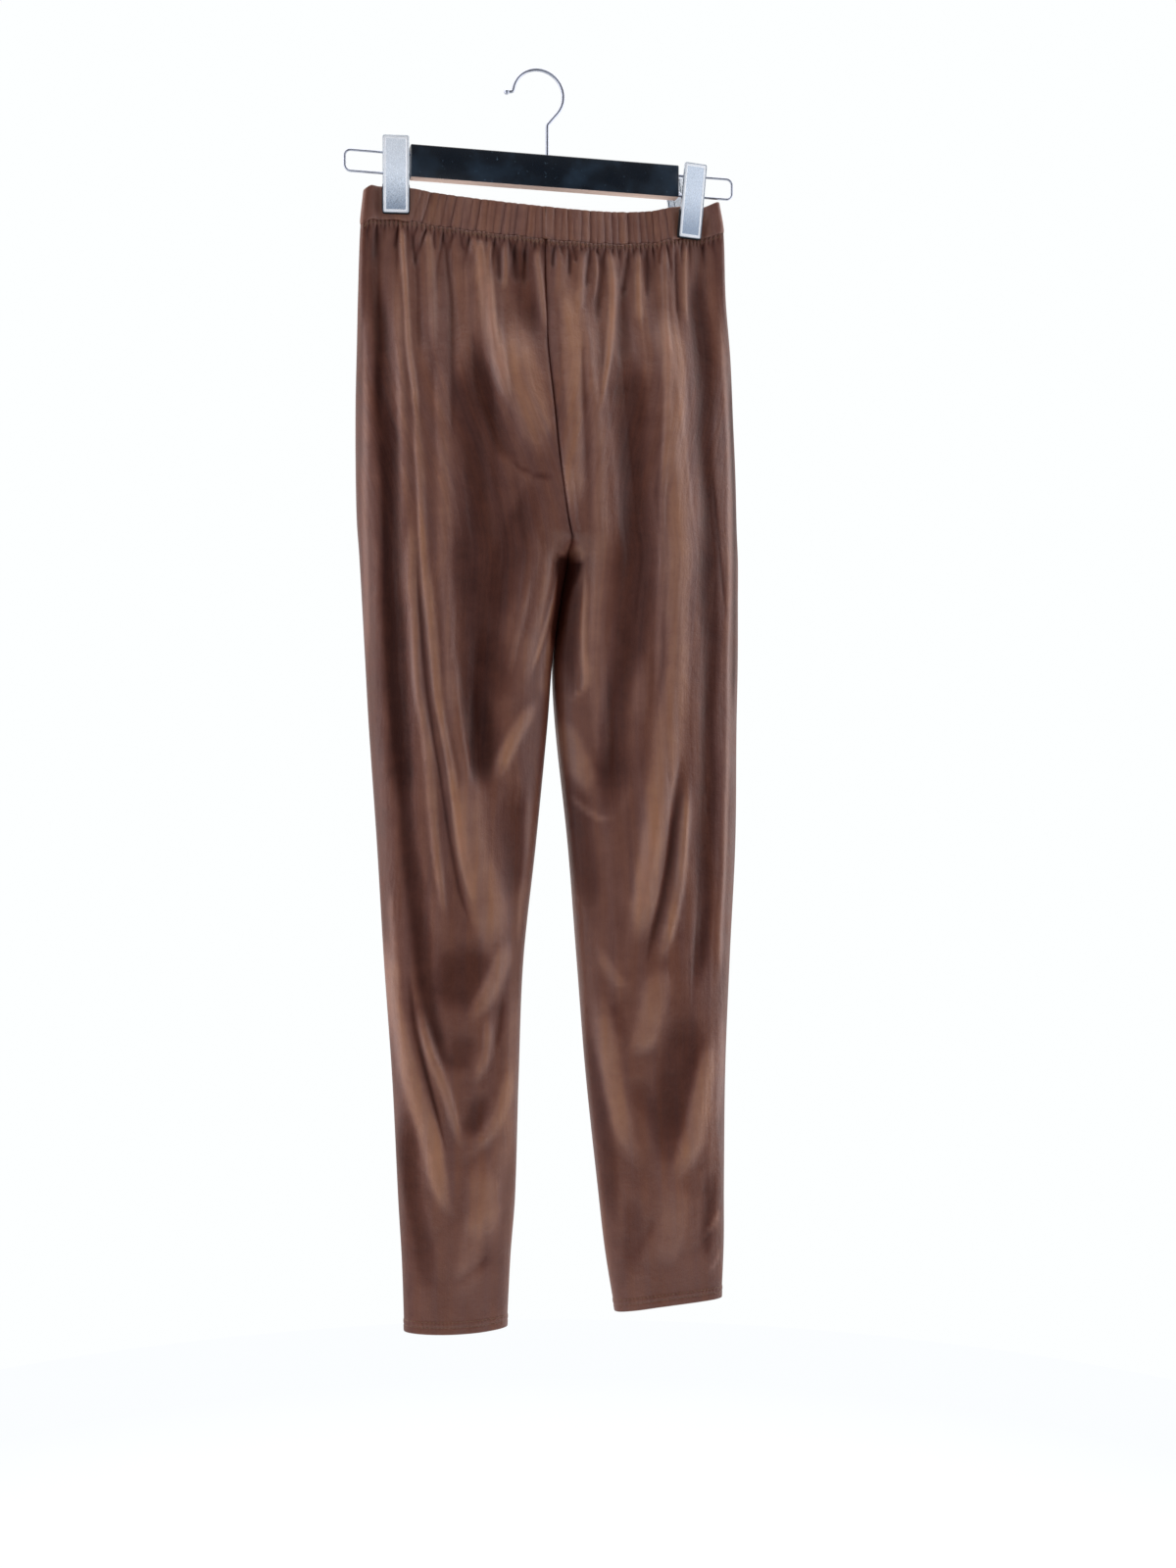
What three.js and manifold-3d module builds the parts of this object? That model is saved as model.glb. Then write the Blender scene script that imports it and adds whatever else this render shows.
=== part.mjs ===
// Leggings hung by their waistband from a clip hanger: a painted wooden bar with a wire
// hook, a closed wire rail through the bar, and two spring clips that slide on the rail.
// Millimetres, +Z up. The origin is the inner crown of the hook, X runs along the bar and
// the front of the leggings faces -Y.
import * as THREE from 'three';
import { mergeVertices } from 'three/addons/utils/BufferGeometryUtils.js';
import Module from 'manifold-3d';

const wasm = await Module();
wasm.setup();

const { clamp, lerp, smoothstep, degToRad } = THREE.MathUtils;

// ---------------------------------------------------------------- driving dimensions
const GAP = 0.34; // between pieces that meet
const MID_Y = 4.8; // plane of the rail and of the hanging cloth

const CLOTH_WALL = 1.2;
const HEM_WALL = 2.4; // turned up, so doubled
const HEM_HEIGHT = 11;
const BAND_WALL = 2.4; // cloth folded round elastic
const BAND_HEIGHT = 28;
const BAND_GAP = 0.6; // groove between the band and the panels under it

const WAIST_Z = -107; // top of the waistband at the left clip
const WAIST_SAG = 12; // how far it sags between the clips
const WAIST_TILT = 2.5; // how much higher the right clip holds it
const WAIST_RISE = 6; // how far its right end kicks up outside the clip
const WAIST_CORNER = 5; // how far its left corner is rounded down
const MOUTH_HALF_DEPTH = 12;
const CROTCH_Z = -416;
const LEFT_HEM_Z = -1074;
const RIGHT_HEM_Z = -1065.5;

const BAR = { length: 235, height: 28, thickness: 11, x: 7.3, y: 2.2, z: -85.6, edge: 1.2 };
const RAIL = { left: -164.9, right: 175.4, upper: -78, lower: -95.7, corner: 5, radius: 1.1 };
const HOOK = {
  ringRadius: 22,
  wire: 1.5,
  tipBall: 2.4,
  tipReach: 5.5, // how far the ball end stands out past the ring
  tipRise: 1.4, // and its height over the ring's centre
  stemX: 7.8,
  stemTop: -49,
  stemMiddle: -62,
  depthInBar: 17,
};
const CLIP = { width: 22, above: 20.4, below: 42, sheet: 1.2, tilt: 12, pad: 1.5, padHeight: 24 };
const JAW_Y = BAND_WALL + GAP * 2 + CLIP.pad + 0.4; // inner face of a clip's plate at its jaw
// Holes in a clip's ears are loose on the wires, so a clip can turn and drop a little.
const EAR = { x: 6, reach: 5.7, holeAcross: 4.7, holeUp: 4.9, centreUp: 0.6 };
const SPRING = { inside: 1.5, outside: 3, length: 4.5 };

// Each clip: where it sits on the rail, and how it has turned and leant in its loose holes.
const CLIPS = [
  { side: 'left', x: -121.6, drop: 0, yaw: -8, lean: 0 },
  { side: 'right', x: 132.8, drop: 3.4, yaw: 15, lean: -1.5 },
];

// Each half of the leggings, one row for a height: the outer edge, the inner edge (the
// centre seam above the crotch, the inseam below it) and half the depth of the hollow.
const LEFT_HALF = [
  { z: -107, outer: -148, inner: 5, depth: 12 },
  { z: -134, outer: -151, inner: 5, depth: 16 },
  { z: -191, outer: -153, inner: 5, depth: 25 },
  { z: -240, outer: -154, inner: 5, depth: 31 },
  { z: -290, outer: -155, inner: 8, depth: 35 },
  { z: -339, outer: -155, inner: 13, depth: 37 },
  { z: -388, outer: -154, inner: 20, depth: 37 },
  { z: -416, outer: -152, inner: 25.4, depth: 36 },
  { z: -450, outer: -150, inner: 20, depth: 34 },
  { z: -505, outer: -147, inner: 12.4, depth: 31 },
  { z: -560, outer: -144, inner: 8, depth: 29 },
  { z: -661, outer: -137, inner: -2, depth: 27 },
  { z: -761, outer: -131, inner: -13, depth: 25 },
  { z: -861, outer: -124, inner: -17, depth: 21 },
  { z: -963, outer: -119, inner: -20, depth: 17 },
  { z: -1014, outer: -116, inner: -24, depth: 15 },
  { z: -1074, outer: -114, inner: -27, depth: 12 },
];
const RIGHT_HALF = [
  { z: -107, outer: 162.5, inner: 5, depth: 12 },
  { z: -134, outer: 167, inner: 5, depth: 16 },
  { z: -191, outer: 169, inner: 5, depth: 25 },
  { z: -240, outer: 173, inner: 5, depth: 31 },
  { z: -290, outer: 175, inner: 8, depth: 35 },
  { z: -339, outer: 177, inner: 13, depth: 37 },
  { z: -388, outer: 178, inner: 20.1, depth: 37 },
  { z: -416, outer: 179, inner: 25.9, depth: 36 },
  { z: -450, outer: 179, inner: 21, depth: 34 },
  { z: -505, outer: 179, inner: 14.6, depth: 32 },
  { z: -560, outer: 178, inner: 17, depth: 30 },
  { z: -661, outer: 177, inner: 28, depth: 28 },
  { z: -761, outer: 172, inner: 36, depth: 26 },
  { z: -861, outer: 168, inner: 44, depth: 22 },
  { z: -963, outer: 167, inner: 55, depth: 18 },
  { z: -1014, outer: 167, inner: 61, depth: 15 },
  { z: -1066, outer: 165, inner: 70, depth: 12 },
];

// The largest folds, a row each: three places down the fold, its half width and how far
// it stands out of the cloth (a trough stands in, so it is negative).
const FRONT_FOLDS = [
  { name: 'left side trough', x: [-135, -131, -75], z: [-190, -480, -900], width: 13, rise: -7 },
  { name: 'left hip ridge', x: [-119, -110, -76], z: [-150, -330, -610], width: 13, rise: 6 },
  { name: 'left hip trough', x: [-80, -78, -66], z: [-160, -230, -345], width: 14, rise: -5 },
  { name: 'left inner ridge', x: [-58, -43, -25], z: [-160, -252, -345], width: 13, rise: 6 },
  { name: 'left knee pocket', x: [-56, -54, -52], z: [-470, -540, -618], width: 17, rise: -8 },
  { name: 'left shin ridge', x: [-68, -58, -50], z: [-610, -680, -760], width: 17, rise: 6 },
  { name: 'left calf arm', x: [-118, -102, -66], z: [-785, -875, -974], width: 12, rise: 6 },
  { name: 'right main ridge', x: [110, 103, 70], z: [-160, -420, -690], width: 15, rise: 7 },
  { name: 'right wide trough', x: [69, 75, 68], z: [-240, -370, -520], width: 17, rise: -8 },
  { name: 'right side trough', x: [145, 147, 140], z: [-200, -440, -780], width: 13, rise: -6 },
  { name: 'right shin ridge', x: [90, 84, 74], z: [-625, -690, -765], width: 18, rise: 6 },
  { name: 'right calf ridge', x: [125, 100, 66], z: [-644, -750, -850], width: 12, rise: 6 },
  { name: 'right calf pocket', x: [116, 114, 98], z: [-815, -870, -945], width: 13, rise: -7 },
];
const BACK_FOLDS = [
  { name: 'left seat trough', x: [-120, -116, -96], z: [-170, -300, -480], width: 14, rise: -6 },
  { name: 'left seat ridge', x: [-82, -74, -50], z: [-160, -300, -430], width: 15, rise: 6 },
  { name: 'left back of knee', x: [-84, -72, -64], z: [-520, -590, -650], width: 17, rise: -8 },
  { name: 'left calf ridge', x: [-98, -84, -66], z: [-660, -760, -900], width: 14, rise: 6 },
  { name: 'right seat ridge', x: [96, 88, 76], z: [-165, -330, -560], width: 15, rise: 6 },
  { name: 'right seat trough', x: [132, 128, 120], z: [-180, -380, -600], width: 14, rise: -6 },
  { name: 'right back of knee', x: [96, 88, 84], z: [-590, -660, -720], width: 17, rise: -8 },
  { name: 'right calf ridge', x: [134, 118, 96], z: [-700, -800, -920], width: 14, rise: 6 },
];

// Heights of the panels' cross rows: fractions from the band to the crotch, then from the
// crotch to the hem.
const ROWS_TO_CROTCH = [0, 0.08, 0.18, 0.3, 0.43, 0.56, 0.68, 0.79, 0.87, 0.93, 0.965, 0.985, 1];
const ROWS_TO_HEM = [
  0.012, 0.035, 0.07, 0.12, 0.18, 0.25, 0.32, 0.39, 0.46, 0.53, 0.6, 0.67, 0.74, 0.81, 0.88, 0.94,
];
const PANEL_COLUMNS = 16;
const BAND_COLUMNS = 30;
const OVAL_POWER = 2.4; // how square the ovals are

// ---------------------------------------------------------------- small helpers
function finish(color, roughness, metalness) {
  return new THREE.MeshStandardMaterial({ color, roughness, metalness });
}

const FINISHES = {
  cloth: finish(0x5f4335, 0.42, 0),
  paint: finish(0x141214, 0.25, 0),
  wire: finish(0xb9b9bc, 0.15, 1),
  plate: finish(0xa9a49c, 0.35, 1),
  pad: finish(0x1b1a1a, 0.8, 0),
};

const model = new THREE.Group();

function addPiece(name, geometry, material) {
  const mesh = new THREE.Mesh(geometry, material);
  mesh.name = name;
  model.add(mesh);
  return mesh;
}

// A column of a table at any height, joined by smooth cubic stretches.
function column(table, key, z) {
  const last = table.length - 1;
  if (z >= table[0].z) return table[0][key];
  if (z <= table[last].z) return table[last][key];
  const i = table.findIndex((row) => row.z <= z) - 1;
  const slope = (a, b) => (table[b][key] - table[a][key]) / (table[b].z - table[a].z);
  const step = table[i + 1].z - table[i].z;
  const t = (z - table[i].z) / step;
  const enter = slope(Math.max(i - 1, 0), i + 1) * step;
  const leave = slope(i, Math.min(i + 2, last)) * step;
  const rise = table[i + 1][key] - table[i][key];
  return table[i][key] + t * (enter + t * (3 * rise - 2 * enter - leave + t * (enter + leave - 2 * rise)));
}

// A solid wall round a grid of middle points: points and normals are [row][column],
// thickness is a number for each row. Rows run down, columns run anticlockwise seen
// from above, so the outside faces away from the hollow.
function wallGeometry(points, normals, thickness) {
  const rows = points.length;
  const columns = points[0].length;
  const positions = [];
  for (const side of [0.5, -0.5]) {
    points.forEach((row, r) => {
      row.forEach((point, c) => {
        const p = point.clone().addScaledVector(normals[r][c], side * thickness[r]);
        positions.push(p.x, p.y, p.z);
      });
    });
  }
  const outside = (r, c) => r * columns + c;
  const inside = (r, c) => rows * columns + r * columns + c;
  const triangles = [];
  const quad = (a, b, c, d) => triangles.push(a, b, c, a, c, d);
  for (let r = 0; r < rows - 1; r += 1) {
    for (let c = 0; c < columns - 1; c += 1) {
      quad(outside(r, c), outside(r + 1, c), outside(r + 1, c + 1), outside(r, c + 1));
      quad(inside(r, c), inside(r, c + 1), inside(r + 1, c + 1), inside(r + 1, c));
    }
  }
  for (let c = 0; c < columns - 1; c += 1) {
    quad(outside(0, c), outside(0, c + 1), inside(0, c + 1), inside(0, c));
    quad(outside(rows - 1, c + 1), outside(rows - 1, c), inside(rows - 1, c), inside(rows - 1, c + 1));
  }
  for (let r = 0; r < rows - 1; r += 1) {
    quad(outside(r + 1, 0), outside(r, 0), inside(r, 0), inside(r + 1, 0));
    const end = columns - 1;
    quad(outside(r, end), outside(r + 1, end), inside(r + 1, end), inside(r, end));
  }
  const geometry = new THREE.BufferGeometry();
  geometry.setAttribute('position', new THREE.Float32BufferAttribute(positions, 3));
  geometry.setIndex(triangles);
  return geometry;
}

// ---------------------------------------------------------------- form of the cloth
// Height of the waistband's top edge above WAIST_Z at the left clip.
function waistLift(x) {
  const across = clamp((x - CLIPS[0].x) / (CLIPS[1].x - CLIPS[0].x), 0, 1);
  const skewed = across ** 1.35;
  const sag = WAIST_SAG * 4 * skewed * (1 - skewed);
  const rise = WAIST_TILT * across + WAIST_RISE * smoothstep(x, 146, 167);
  return rise - sag - WAIST_CORNER * (1 - smoothstep(x, -151, -142));
}

// Half the distance between the front and back layers where the clips pinch the band.
const LAYER_ROOM = 0.15; // keeps the pressed layers from touching
const LOOP_DEPTH = 2.4; // how far the band opens out again beyond a clip
function pinchedDepth(x, outer) {
  const pressed = (BAND_WALL + GAP) / 2 + LAYER_ROOM;
  const [left, right] = CLIPS.map((clip) => clip.x);
  const reach = CLIP.width / 2 + 2;
  if (x > left + reach && x < right - reach) {
    const across = (x - left - reach) / (right - left - 2 * reach);
    return pressed + (MOUTH_HALF_DEPTH - pressed) * Math.sin(Math.PI * across) ** 2;
  }
  const toClip = Math.min(Math.abs(x - left), Math.abs(x - right)) - reach;
  const loop = pressed + LOOP_DEPTH * smoothstep(toClip, 0, 8);
  const endRadius = 4;
  const toEnd = clamp(Math.abs(outer - x) / endRadius, 0, 1);
  return loop * Math.sqrt(1 - (1 - toEnd) ** 2);
}

// The clips have turned in their holes, and the cloth they grip turns with them.
function clipTwist(x, z) {
  let shift = 0;
  for (const clip of CLIPS) {
    const away = x - clip.x;
    const grip = 1 - smoothstep(Math.abs(away), CLIP.width / 2 + 2, CLIP.width / 2 + 19);
    shift += Math.tan(degToRad(clip.yaw)) * away * grip;
  }
  return shift * smoothstep(z, -260, -135);
}

function foldRise(folds, x, z) {
  let total = 0;
  for (const fold of folds) {
    const [top, middle, bottom] = fold.z;
    if (z > top || z < bottom) continue;
    const upper = z > middle;
    const i = upper ? 0 : 1;
    const t = (z - fold.z[i]) / (fold.z[i + 1] - fold.z[i]);
    const lean = (fold.x[i + 1] - fold.x[i]) / (fold.z[i + 1] - fold.z[i]);
    const away = (x - lerp(fold.x[i], fold.x[i + 1], t)) / Math.hypot(1, lean);
    const along = (top - z) / (top - bottom);
    const fade = smoothstep(along, 0, 0.25) * (1 - smoothstep(along, 0.75, 1));
    total += fold.rise * fade * Math.exp(-((away / fold.width) ** 2));
  }
  return total;
}

// Uneven pleats of the gathered band, none where the clips press it flat.
function pleat(x) {
  const [left, right] = CLIPS.map((clip) => clip.x);
  const clear = smoothstep(x, left + 13, left + 24) * (1 - smoothstep(x, right - 24, right - 13));
  const uneven = 0.7 + 0.3 * Math.sin(x / 13);
  return 0.8 * clear * uneven * Math.sin((2 * Math.PI * x) / 10.4 + 1.7 * Math.sin(x / 17));
}

// The middle of the cloth. half is the table of one half, face is -1 on the front and 1 on
// the back, across runs from the inner edge (0) to the outer one (1), z is the level.
function clothPoint(half, face, across, z, hemTilt, pleated) {
  const outer = column(half, 'outer', z);
  const inner = column(half, 'inner', z);
  const depth = column(half, 'depth', z);
  const x = lerp(inner, outer, across);

  const hipOval = (1 - across ** OVAL_POWER) ** (1 / OVAL_POWER);
  const legOval = (1 - Math.abs(2 * across - 1) ** OVAL_POWER) ** (1 / OVAL_POWER);
  const legShare = 1 - smoothstep(z, CROTCH_Z - 70 * across, CROTCH_Z + 16 + 110 * across);
  const free = depth * lerp(hipOval, legOval, legShare);
  const pinch = smoothstep(z, -300, -133);
  const skew = clipTwist(x + 0.5, z) - clipTwist(x - 0.5, z);
  let y = lerp(free, pinchedDepth(x, outer) * Math.hypot(1, skew), pinch);

  const outerMask = 1 - across ** 8;
  const innerMask = 1 - legShare * (1 - across) ** 8;
  const folds = face < 0 ? FRONT_FOLDS : BACK_FOLDS;
  y += foldRise(folds, x, z) * outerMask * innerMask * (1 - pinch);
  if (pleated) y += pleat(x);

  const lift = waistLift(x) * smoothstep(z, -300, -136);
  const hemShare = 1 - smoothstep(z, half[half.length - 1].z, half[half.length - 1].z + 70);
  return new THREE.Vector3(x, MID_Y + clipTwist(x, z) + face * y, z + lift + hemTilt(across) * hemShare);
}

// Places across a panel: even over the hips, crowded at both edges down the leg.
function acrossAt(share, z) {
  const hip = Math.sin((Math.PI / 2) * share);
  const leg = 0.5 - 0.5 * Math.cos(Math.PI * share);
  return lerp(leg, hip, smoothstep(z, CROTCH_Z + 20, -230));
}

// Room for the two legs' walls, where they turn to face each other at the crotch.
function crotchRoom(z) {
  return (CLOTH_WALL / 2) * smoothstep(z, CROTCH_Z - 84, CROTCH_Z + 16);
}

// A grid of middle points and normals between two levels, drawn back from its edges by
// half a gap so that neighbours stay apart.
function clothGrid({ half, face, hemTilt, pleated }, levels, shares) {
  const at = (share, z) => clothPoint(half, face, acrossAt(share, z), z, hemTilt, pleated);
  const rightward = Math.sign(half[0].outer - half[0].inner);
  const points = [];
  const normals = [];
  for (const z of levels) {
    const row = [];
    const rowNormals = [];
    for (const share of shares) {
      const e = 0.004;
      const s = clamp(share, e, 1 - e);
      const sideways = at(s + e, z).sub(at(s - e, z));
      const down = at(s, z - 1).sub(at(s, z + 1));
      const normal = down.cross(sideways).normalize();
      if (face * rightward > 0) normal.negate(); // it points out of the garment
      const point = at(share, z);
      if (share === 0 || share === 1) {
        const inward = at(share === 0 ? 0.02 : 0.98, z).sub(point).normalize();
        point.addScaledVector(inward, GAP / 2);
        if (share === 0) point.x += rightward * Math.abs(normal.x) * crotchRoom(z);
      }
      row.push(point);
      rowNormals.push(normal);
    }
    // Columns run so that the wall's triangles face outwards.
    const keepOrder = face * rightward < 0;
    points.push(keepOrder ? row : row.reverse());
    normals.push(keepOrder ? rowNormals : rowNormals.reverse());
  }
  return { points, normals };
}

const evenShares = (count) => Array.from({ length: count + 1 }, (_, i) => i / count);

const HALVES = [
  {
    side: 'left',
    half: LEFT_HALF,
    hemZ: LEFT_HEM_Z,
    hemTilt: (across) => across - 2.2 * Math.sin(Math.PI * across),
  },
  {
    side: 'right',
    half: RIGHT_HALF,
    hemZ: RIGHT_HEM_Z,
    hemTilt: (across) => lerp(-2.5, 4, across) + 1.2 * Math.sin(Math.PI * across),
  },
];
const FACES = [
  { side: 'front', face: -1 },
  { side: 'back', face: 1 },
];

function panelLevels(hemZ) {
  const top = WAIST_Z - BAND_HEIGHT - BAND_GAP;
  const levels = ROWS_TO_CROTCH.map((t) => lerp(top, CROTCH_Z, t));
  levels.push(...ROWS_TO_HEM.map((t) => lerp(CROTCH_Z, hemZ, t)));
  levels.push(hemZ + HEM_HEIGHT + 2, hemZ + HEM_HEIGHT, hemZ);
  return levels;
}

function addPanel(halfSpec, faceSpec) {
  const spec = { ...halfSpec, ...faceSpec, pleated: false };
  const levels = panelLevels(spec.hemZ);
  const wallAt = (z) => (z <= spec.hemZ + HEM_HEIGHT ? HEM_WALL : CLOTH_WALL);
  const { points, normals } = clothGrid(spec, levels, evenShares(PANEL_COLUMNS));
  const name = `${faceSpec.side}_${halfSpec.side}`;
  addPiece(name, wallGeometry(points, normals, levels.map(wallAt)), FINISHES.cloth);
}

function addBand(halfSpec, faceSpec) {
  const spec = { ...halfSpec, ...faceSpec, pleated: true };
  const levels = [WAIST_Z, WAIST_Z - BAND_HEIGHT / 2, WAIST_Z - BAND_HEIGHT];
  const { points, normals } = clothGrid(spec, levels, evenShares(BAND_COLUMNS));
  const name = `waistband_${faceSpec.side}_${halfSpec.side}`;
  addPiece(name, wallGeometry(points, normals, levels.map(() => BAND_WALL)), FINISHES.cloth);
}

for (const halfSpec of HALVES) {
  for (const faceSpec of FACES) {
    addPanel(halfSpec, faceSpec);
    addBand(halfSpec, faceSpec);
  }
}

// ---------------------------------------------------------------- hanger
function toManifold(geometry) {
  const bare = geometry.index ? geometry.clone() : mergeVertices(geometry.clone());
  bare.deleteAttribute('normal');
  bare.deleteAttribute('uv');
  const merged = mergeVertices(bare, 1e-4);
  const vertProperties = new Float32Array(merged.attributes.position.array);
  const triVerts = new Uint32Array(merged.index.array);
  return new wasm.Manifold(new wasm.Mesh({ numProp: 3, vertProperties, triVerts }));
}

function fromManifold(solid) {
  const mesh = solid.getMesh();
  const geometry = new THREE.BufferGeometry();
  geometry.setAttribute('position', new THREE.BufferAttribute(new Float32Array(mesh.vertProperties), 3));
  geometry.setIndex(new THREE.BufferAttribute(new Uint32Array(mesh.triVerts), 1));
  return geometry;
}

function box(x0, x1, y0, y1, z0, z1) {
  const geometry = new THREE.BoxGeometry(x1 - x0, y1 - y0, z1 - z0);
  return geometry.translate((x0 + x1) / 2, (y0 + y1) / 2, (z0 + z1) / 2);
}

// A round rod along X, centred on (x, y, z).
function rodX(radius, length, x, y, z, sides = 12) {
  const geometry = new THREE.CylinderGeometry(radius, radius, length, sides);
  return geometry.rotateZ(Math.PI / 2).translate(x, y, z);
}

function circleShape(radius, sides) {
  const shape = new THREE.Shape();
  for (let i = 0; i < sides; i += 1) {
    const angle = (2 * Math.PI * i) / sides;
    const place = [radius * Math.cos(angle), radius * Math.sin(angle)];
    if (i === 0) shape.moveTo(...place);
    else shape.lineTo(...place);
  }
  shape.closePath();
  return shape;
}

// Hook: most of a ring, then back under its middle and straight down into the bar.
function hookPath() {
  const centreZ = HOOK.wire - HOOK.ringRadius;
  const places = [new THREE.Vector3(-HOOK.ringRadius - HOOK.tipReach, 0, centreZ + HOOK.tipRise)];
  places.push(new THREE.Vector3(-HOOK.ringRadius - HOOK.tipReach / 3, 0, centreZ + 1.5 * HOOK.tipRise));
  for (let angle = 160; angle >= -40; angle -= 20) {
    const a = degToRad(angle);
    places.push(new THREE.Vector3(HOOK.ringRadius * Math.cos(a), 0, centreZ + HOOK.ringRadius * Math.sin(a)));
  }
  places.push(new THREE.Vector3(HOOK.stemX + 1.6, 0, HOOK.stemTop + 6));
  places.push(new THREE.Vector3(HOOK.stemX, 0, HOOK.stemTop));
  places.push(new THREE.Vector3(HOOK.stemX, 0, HOOK.stemMiddle));
  places.push(new THREE.Vector3(HOOK.stemX, 0, BAR.z + BAR.height / 2 - HOOK.depthInBar));
  return new THREE.CatmullRomCurve3(places, false, 'centripetal');
}

function addHook() {
  const path = hookPath();
  const settings = { steps: 44, extrudePath: path, bevelEnabled: false };
  const wire = toManifold(new THREE.ExtrudeGeometry(circleShape(HOOK.wire, 8), settings));
  const tip = path.getPoint(0);
  const ball = new THREE.SphereGeometry(HOOK.tipBall, 10, 7).translate(tip.x, tip.y, tip.z);
  addPiece('hook', fromManifold(wire.add(toManifold(ball))), FINISHES.wire);
}

function addBar() {
  const { length, height, thickness, x, y, z, edge } = BAR;
  const w = thickness / 2;
  const h = height / 2;
  const outline = new THREE.Shape();
  outline.moveTo(-w + edge, -h);
  outline.lineTo(w - edge, -h);
  outline.absarc(w - edge, -h + edge, edge, -Math.PI / 2, 0, false);
  outline.lineTo(w, h - edge);
  outline.absarc(w - edge, h - edge, edge, 0, Math.PI / 2, false);
  outline.lineTo(-w + edge, h);
  outline.absarc(-w + edge, h - edge, edge, Math.PI / 2, Math.PI, false);
  outline.lineTo(-w, -h + edge);
  outline.absarc(-w + edge, -h + edge, edge, Math.PI, 1.5 * Math.PI, false);
  const settings = { depth: length, curveSegments: 3, bevelEnabled: false };
  const blank = new THREE.ExtrudeGeometry(outline, settings);
  blank.rotateX(Math.PI / 2).rotateZ(Math.PI / 2).translate(x - length / 2, y, z);
  let bar = toManifold(blank);
  for (const wireZ of [RAIL.upper, RAIL.lower]) {
    bar = bar.subtract(toManifold(rodX(RAIL.radius + GAP, length + 10, x, MID_Y, wireZ, 8)));
  }
  const bore = new THREE.CylinderGeometry(HOOK.wire + GAP, HOOK.wire + GAP, HOOK.depthInBar + 8, 10);
  bore.rotateX(Math.PI / 2).translate(HOOK.stemX, 0, z + h - (HOOK.depthInBar + GAP) / 2 + 4 - GAP);
  bar = bar.subtract(toManifold(bore));
  addPiece('bar', fromManifold(bar), FINISHES.paint);
}

function addRail() {
  const { left, right, upper, lower, corner, radius } = RAIL;
  const corners = [
    [right - corner, upper - corner, 0],
    [left + corner, upper - corner, 90],
    [left + corner, lower + corner, 180],
    [right - corner, lower + corner, 270],
  ];
  const places = [];
  for (const [x, z, start] of corners) {
    for (let turn = 0; turn <= 90; turn += 22.5) {
      const a = degToRad(start + turn);
      places.push(new THREE.Vector3(x + corner * Math.cos(a), MID_Y, z + corner * Math.sin(a)));
    }
  }
  const sides = 8;
  const positions = [];
  const triangles = [];
  places.forEach((place, i) => {
    const before = places[(i + places.length - 1) % places.length];
    const after = places[(i + 1) % places.length];
    const along = after.clone().sub(place).normalize().add(place.clone().sub(before).normalize()).normalize();
    const outwards = new THREE.Vector3(along.z, 0, -along.x);
    for (let s = 0; s < sides; s += 1) {
      const a = (2 * Math.PI * s) / sides;
      const p = place.clone().addScaledVector(outwards, radius * Math.cos(a));
      p.y += radius * Math.sin(a);
      positions.push(p.x, p.y, p.z);
      const next = (i + 1) % places.length;
      const t = (s + 1) % sides;
      triangles.push(i * sides + s, i * sides + t, next * sides + s);
      triangles.push(i * sides + t, next * sides + t, next * sides + s);
    }
  });
  const geometry = new THREE.BufferGeometry();
  geometry.setAttribute('position', new THREE.Float32BufferAttribute(positions, 3));
  geometry.setIndex(triangles);
  addPiece('rail', geometry, FINISHES.wire);
}

// Where a clip's tilted plate stands from the rail's plane at a height above its middle.
function plateY(z) {
  return JAW_Y + CLIP.sheet / 2 + (z + CLIP.below) * Math.tan(degToRad(CLIP.tilt));
}

// Tilts a piece modelled upright about the clip's bottom edge, so that its top leans out.
function tilted(geometry) {
  return geometry.translate(0, 0, CLIP.below).rotateX(-degToRad(CLIP.tilt)).translate(0, 0, -CLIP.below);
}

// An upright slab with rounded corners and bevelled edges, its inner face at y.
function slab(width, bottom, top, y, thickness, corner, bevel) {
  const w = width / 2 - bevel;
  const [low, high] = [bottom + bevel, top - bevel];
  const outline = new THREE.Shape();
  outline.moveTo(-w + corner, low);
  outline.absarc(w - corner, low + corner, corner, -Math.PI / 2, 0, false);
  outline.absarc(w - corner, high - corner, corner, 0, Math.PI / 2, false);
  outline.absarc(-w + corner, high - corner, corner, Math.PI / 2, Math.PI, false);
  outline.absarc(-w + corner, low + corner, corner, Math.PI, 1.5 * Math.PI, false);
  const settings = {
    depth: thickness - 2 * bevel,
    bevelThickness: bevel,
    bevelSize: bevel,
    bevelSegments: 1,
    curveSegments: 2,
  };
  const geometry = new THREE.ExtrudeGeometry(outline, settings);
  return geometry.rotateX(Math.PI / 2).translate(0, y + thickness - bevel, 0);
}

// An ear that reaches from the plate round the rail's wires, rounded at its end.
function ear(x, lowest, highest) {
  const shape = new THREE.Shape();
  shape.moveTo(plateY(lowest - EAR.reach), lowest - EAR.reach);
  shape.lineTo(0, lowest - EAR.reach);
  shape.absarc(0, lowest, EAR.reach, -Math.PI / 2, -Math.PI, true);
  shape.absarc(0, highest, EAR.reach, -Math.PI, -1.5 * Math.PI, true);
  shape.lineTo(plateY(highest + EAR.reach), highest + EAR.reach);
  shape.closePath();
  const settings = { depth: CLIP.sheet, bevelEnabled: false, curveSegments: 4 };
  const geometry = new THREE.ExtrudeGeometry(shape, settings);
  geometry.rotateX(Math.PI / 2).rotateZ(Math.PI / 2);
  return geometry.translate(x - CLIP.sheet / 2, 0, 0);
}

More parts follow.
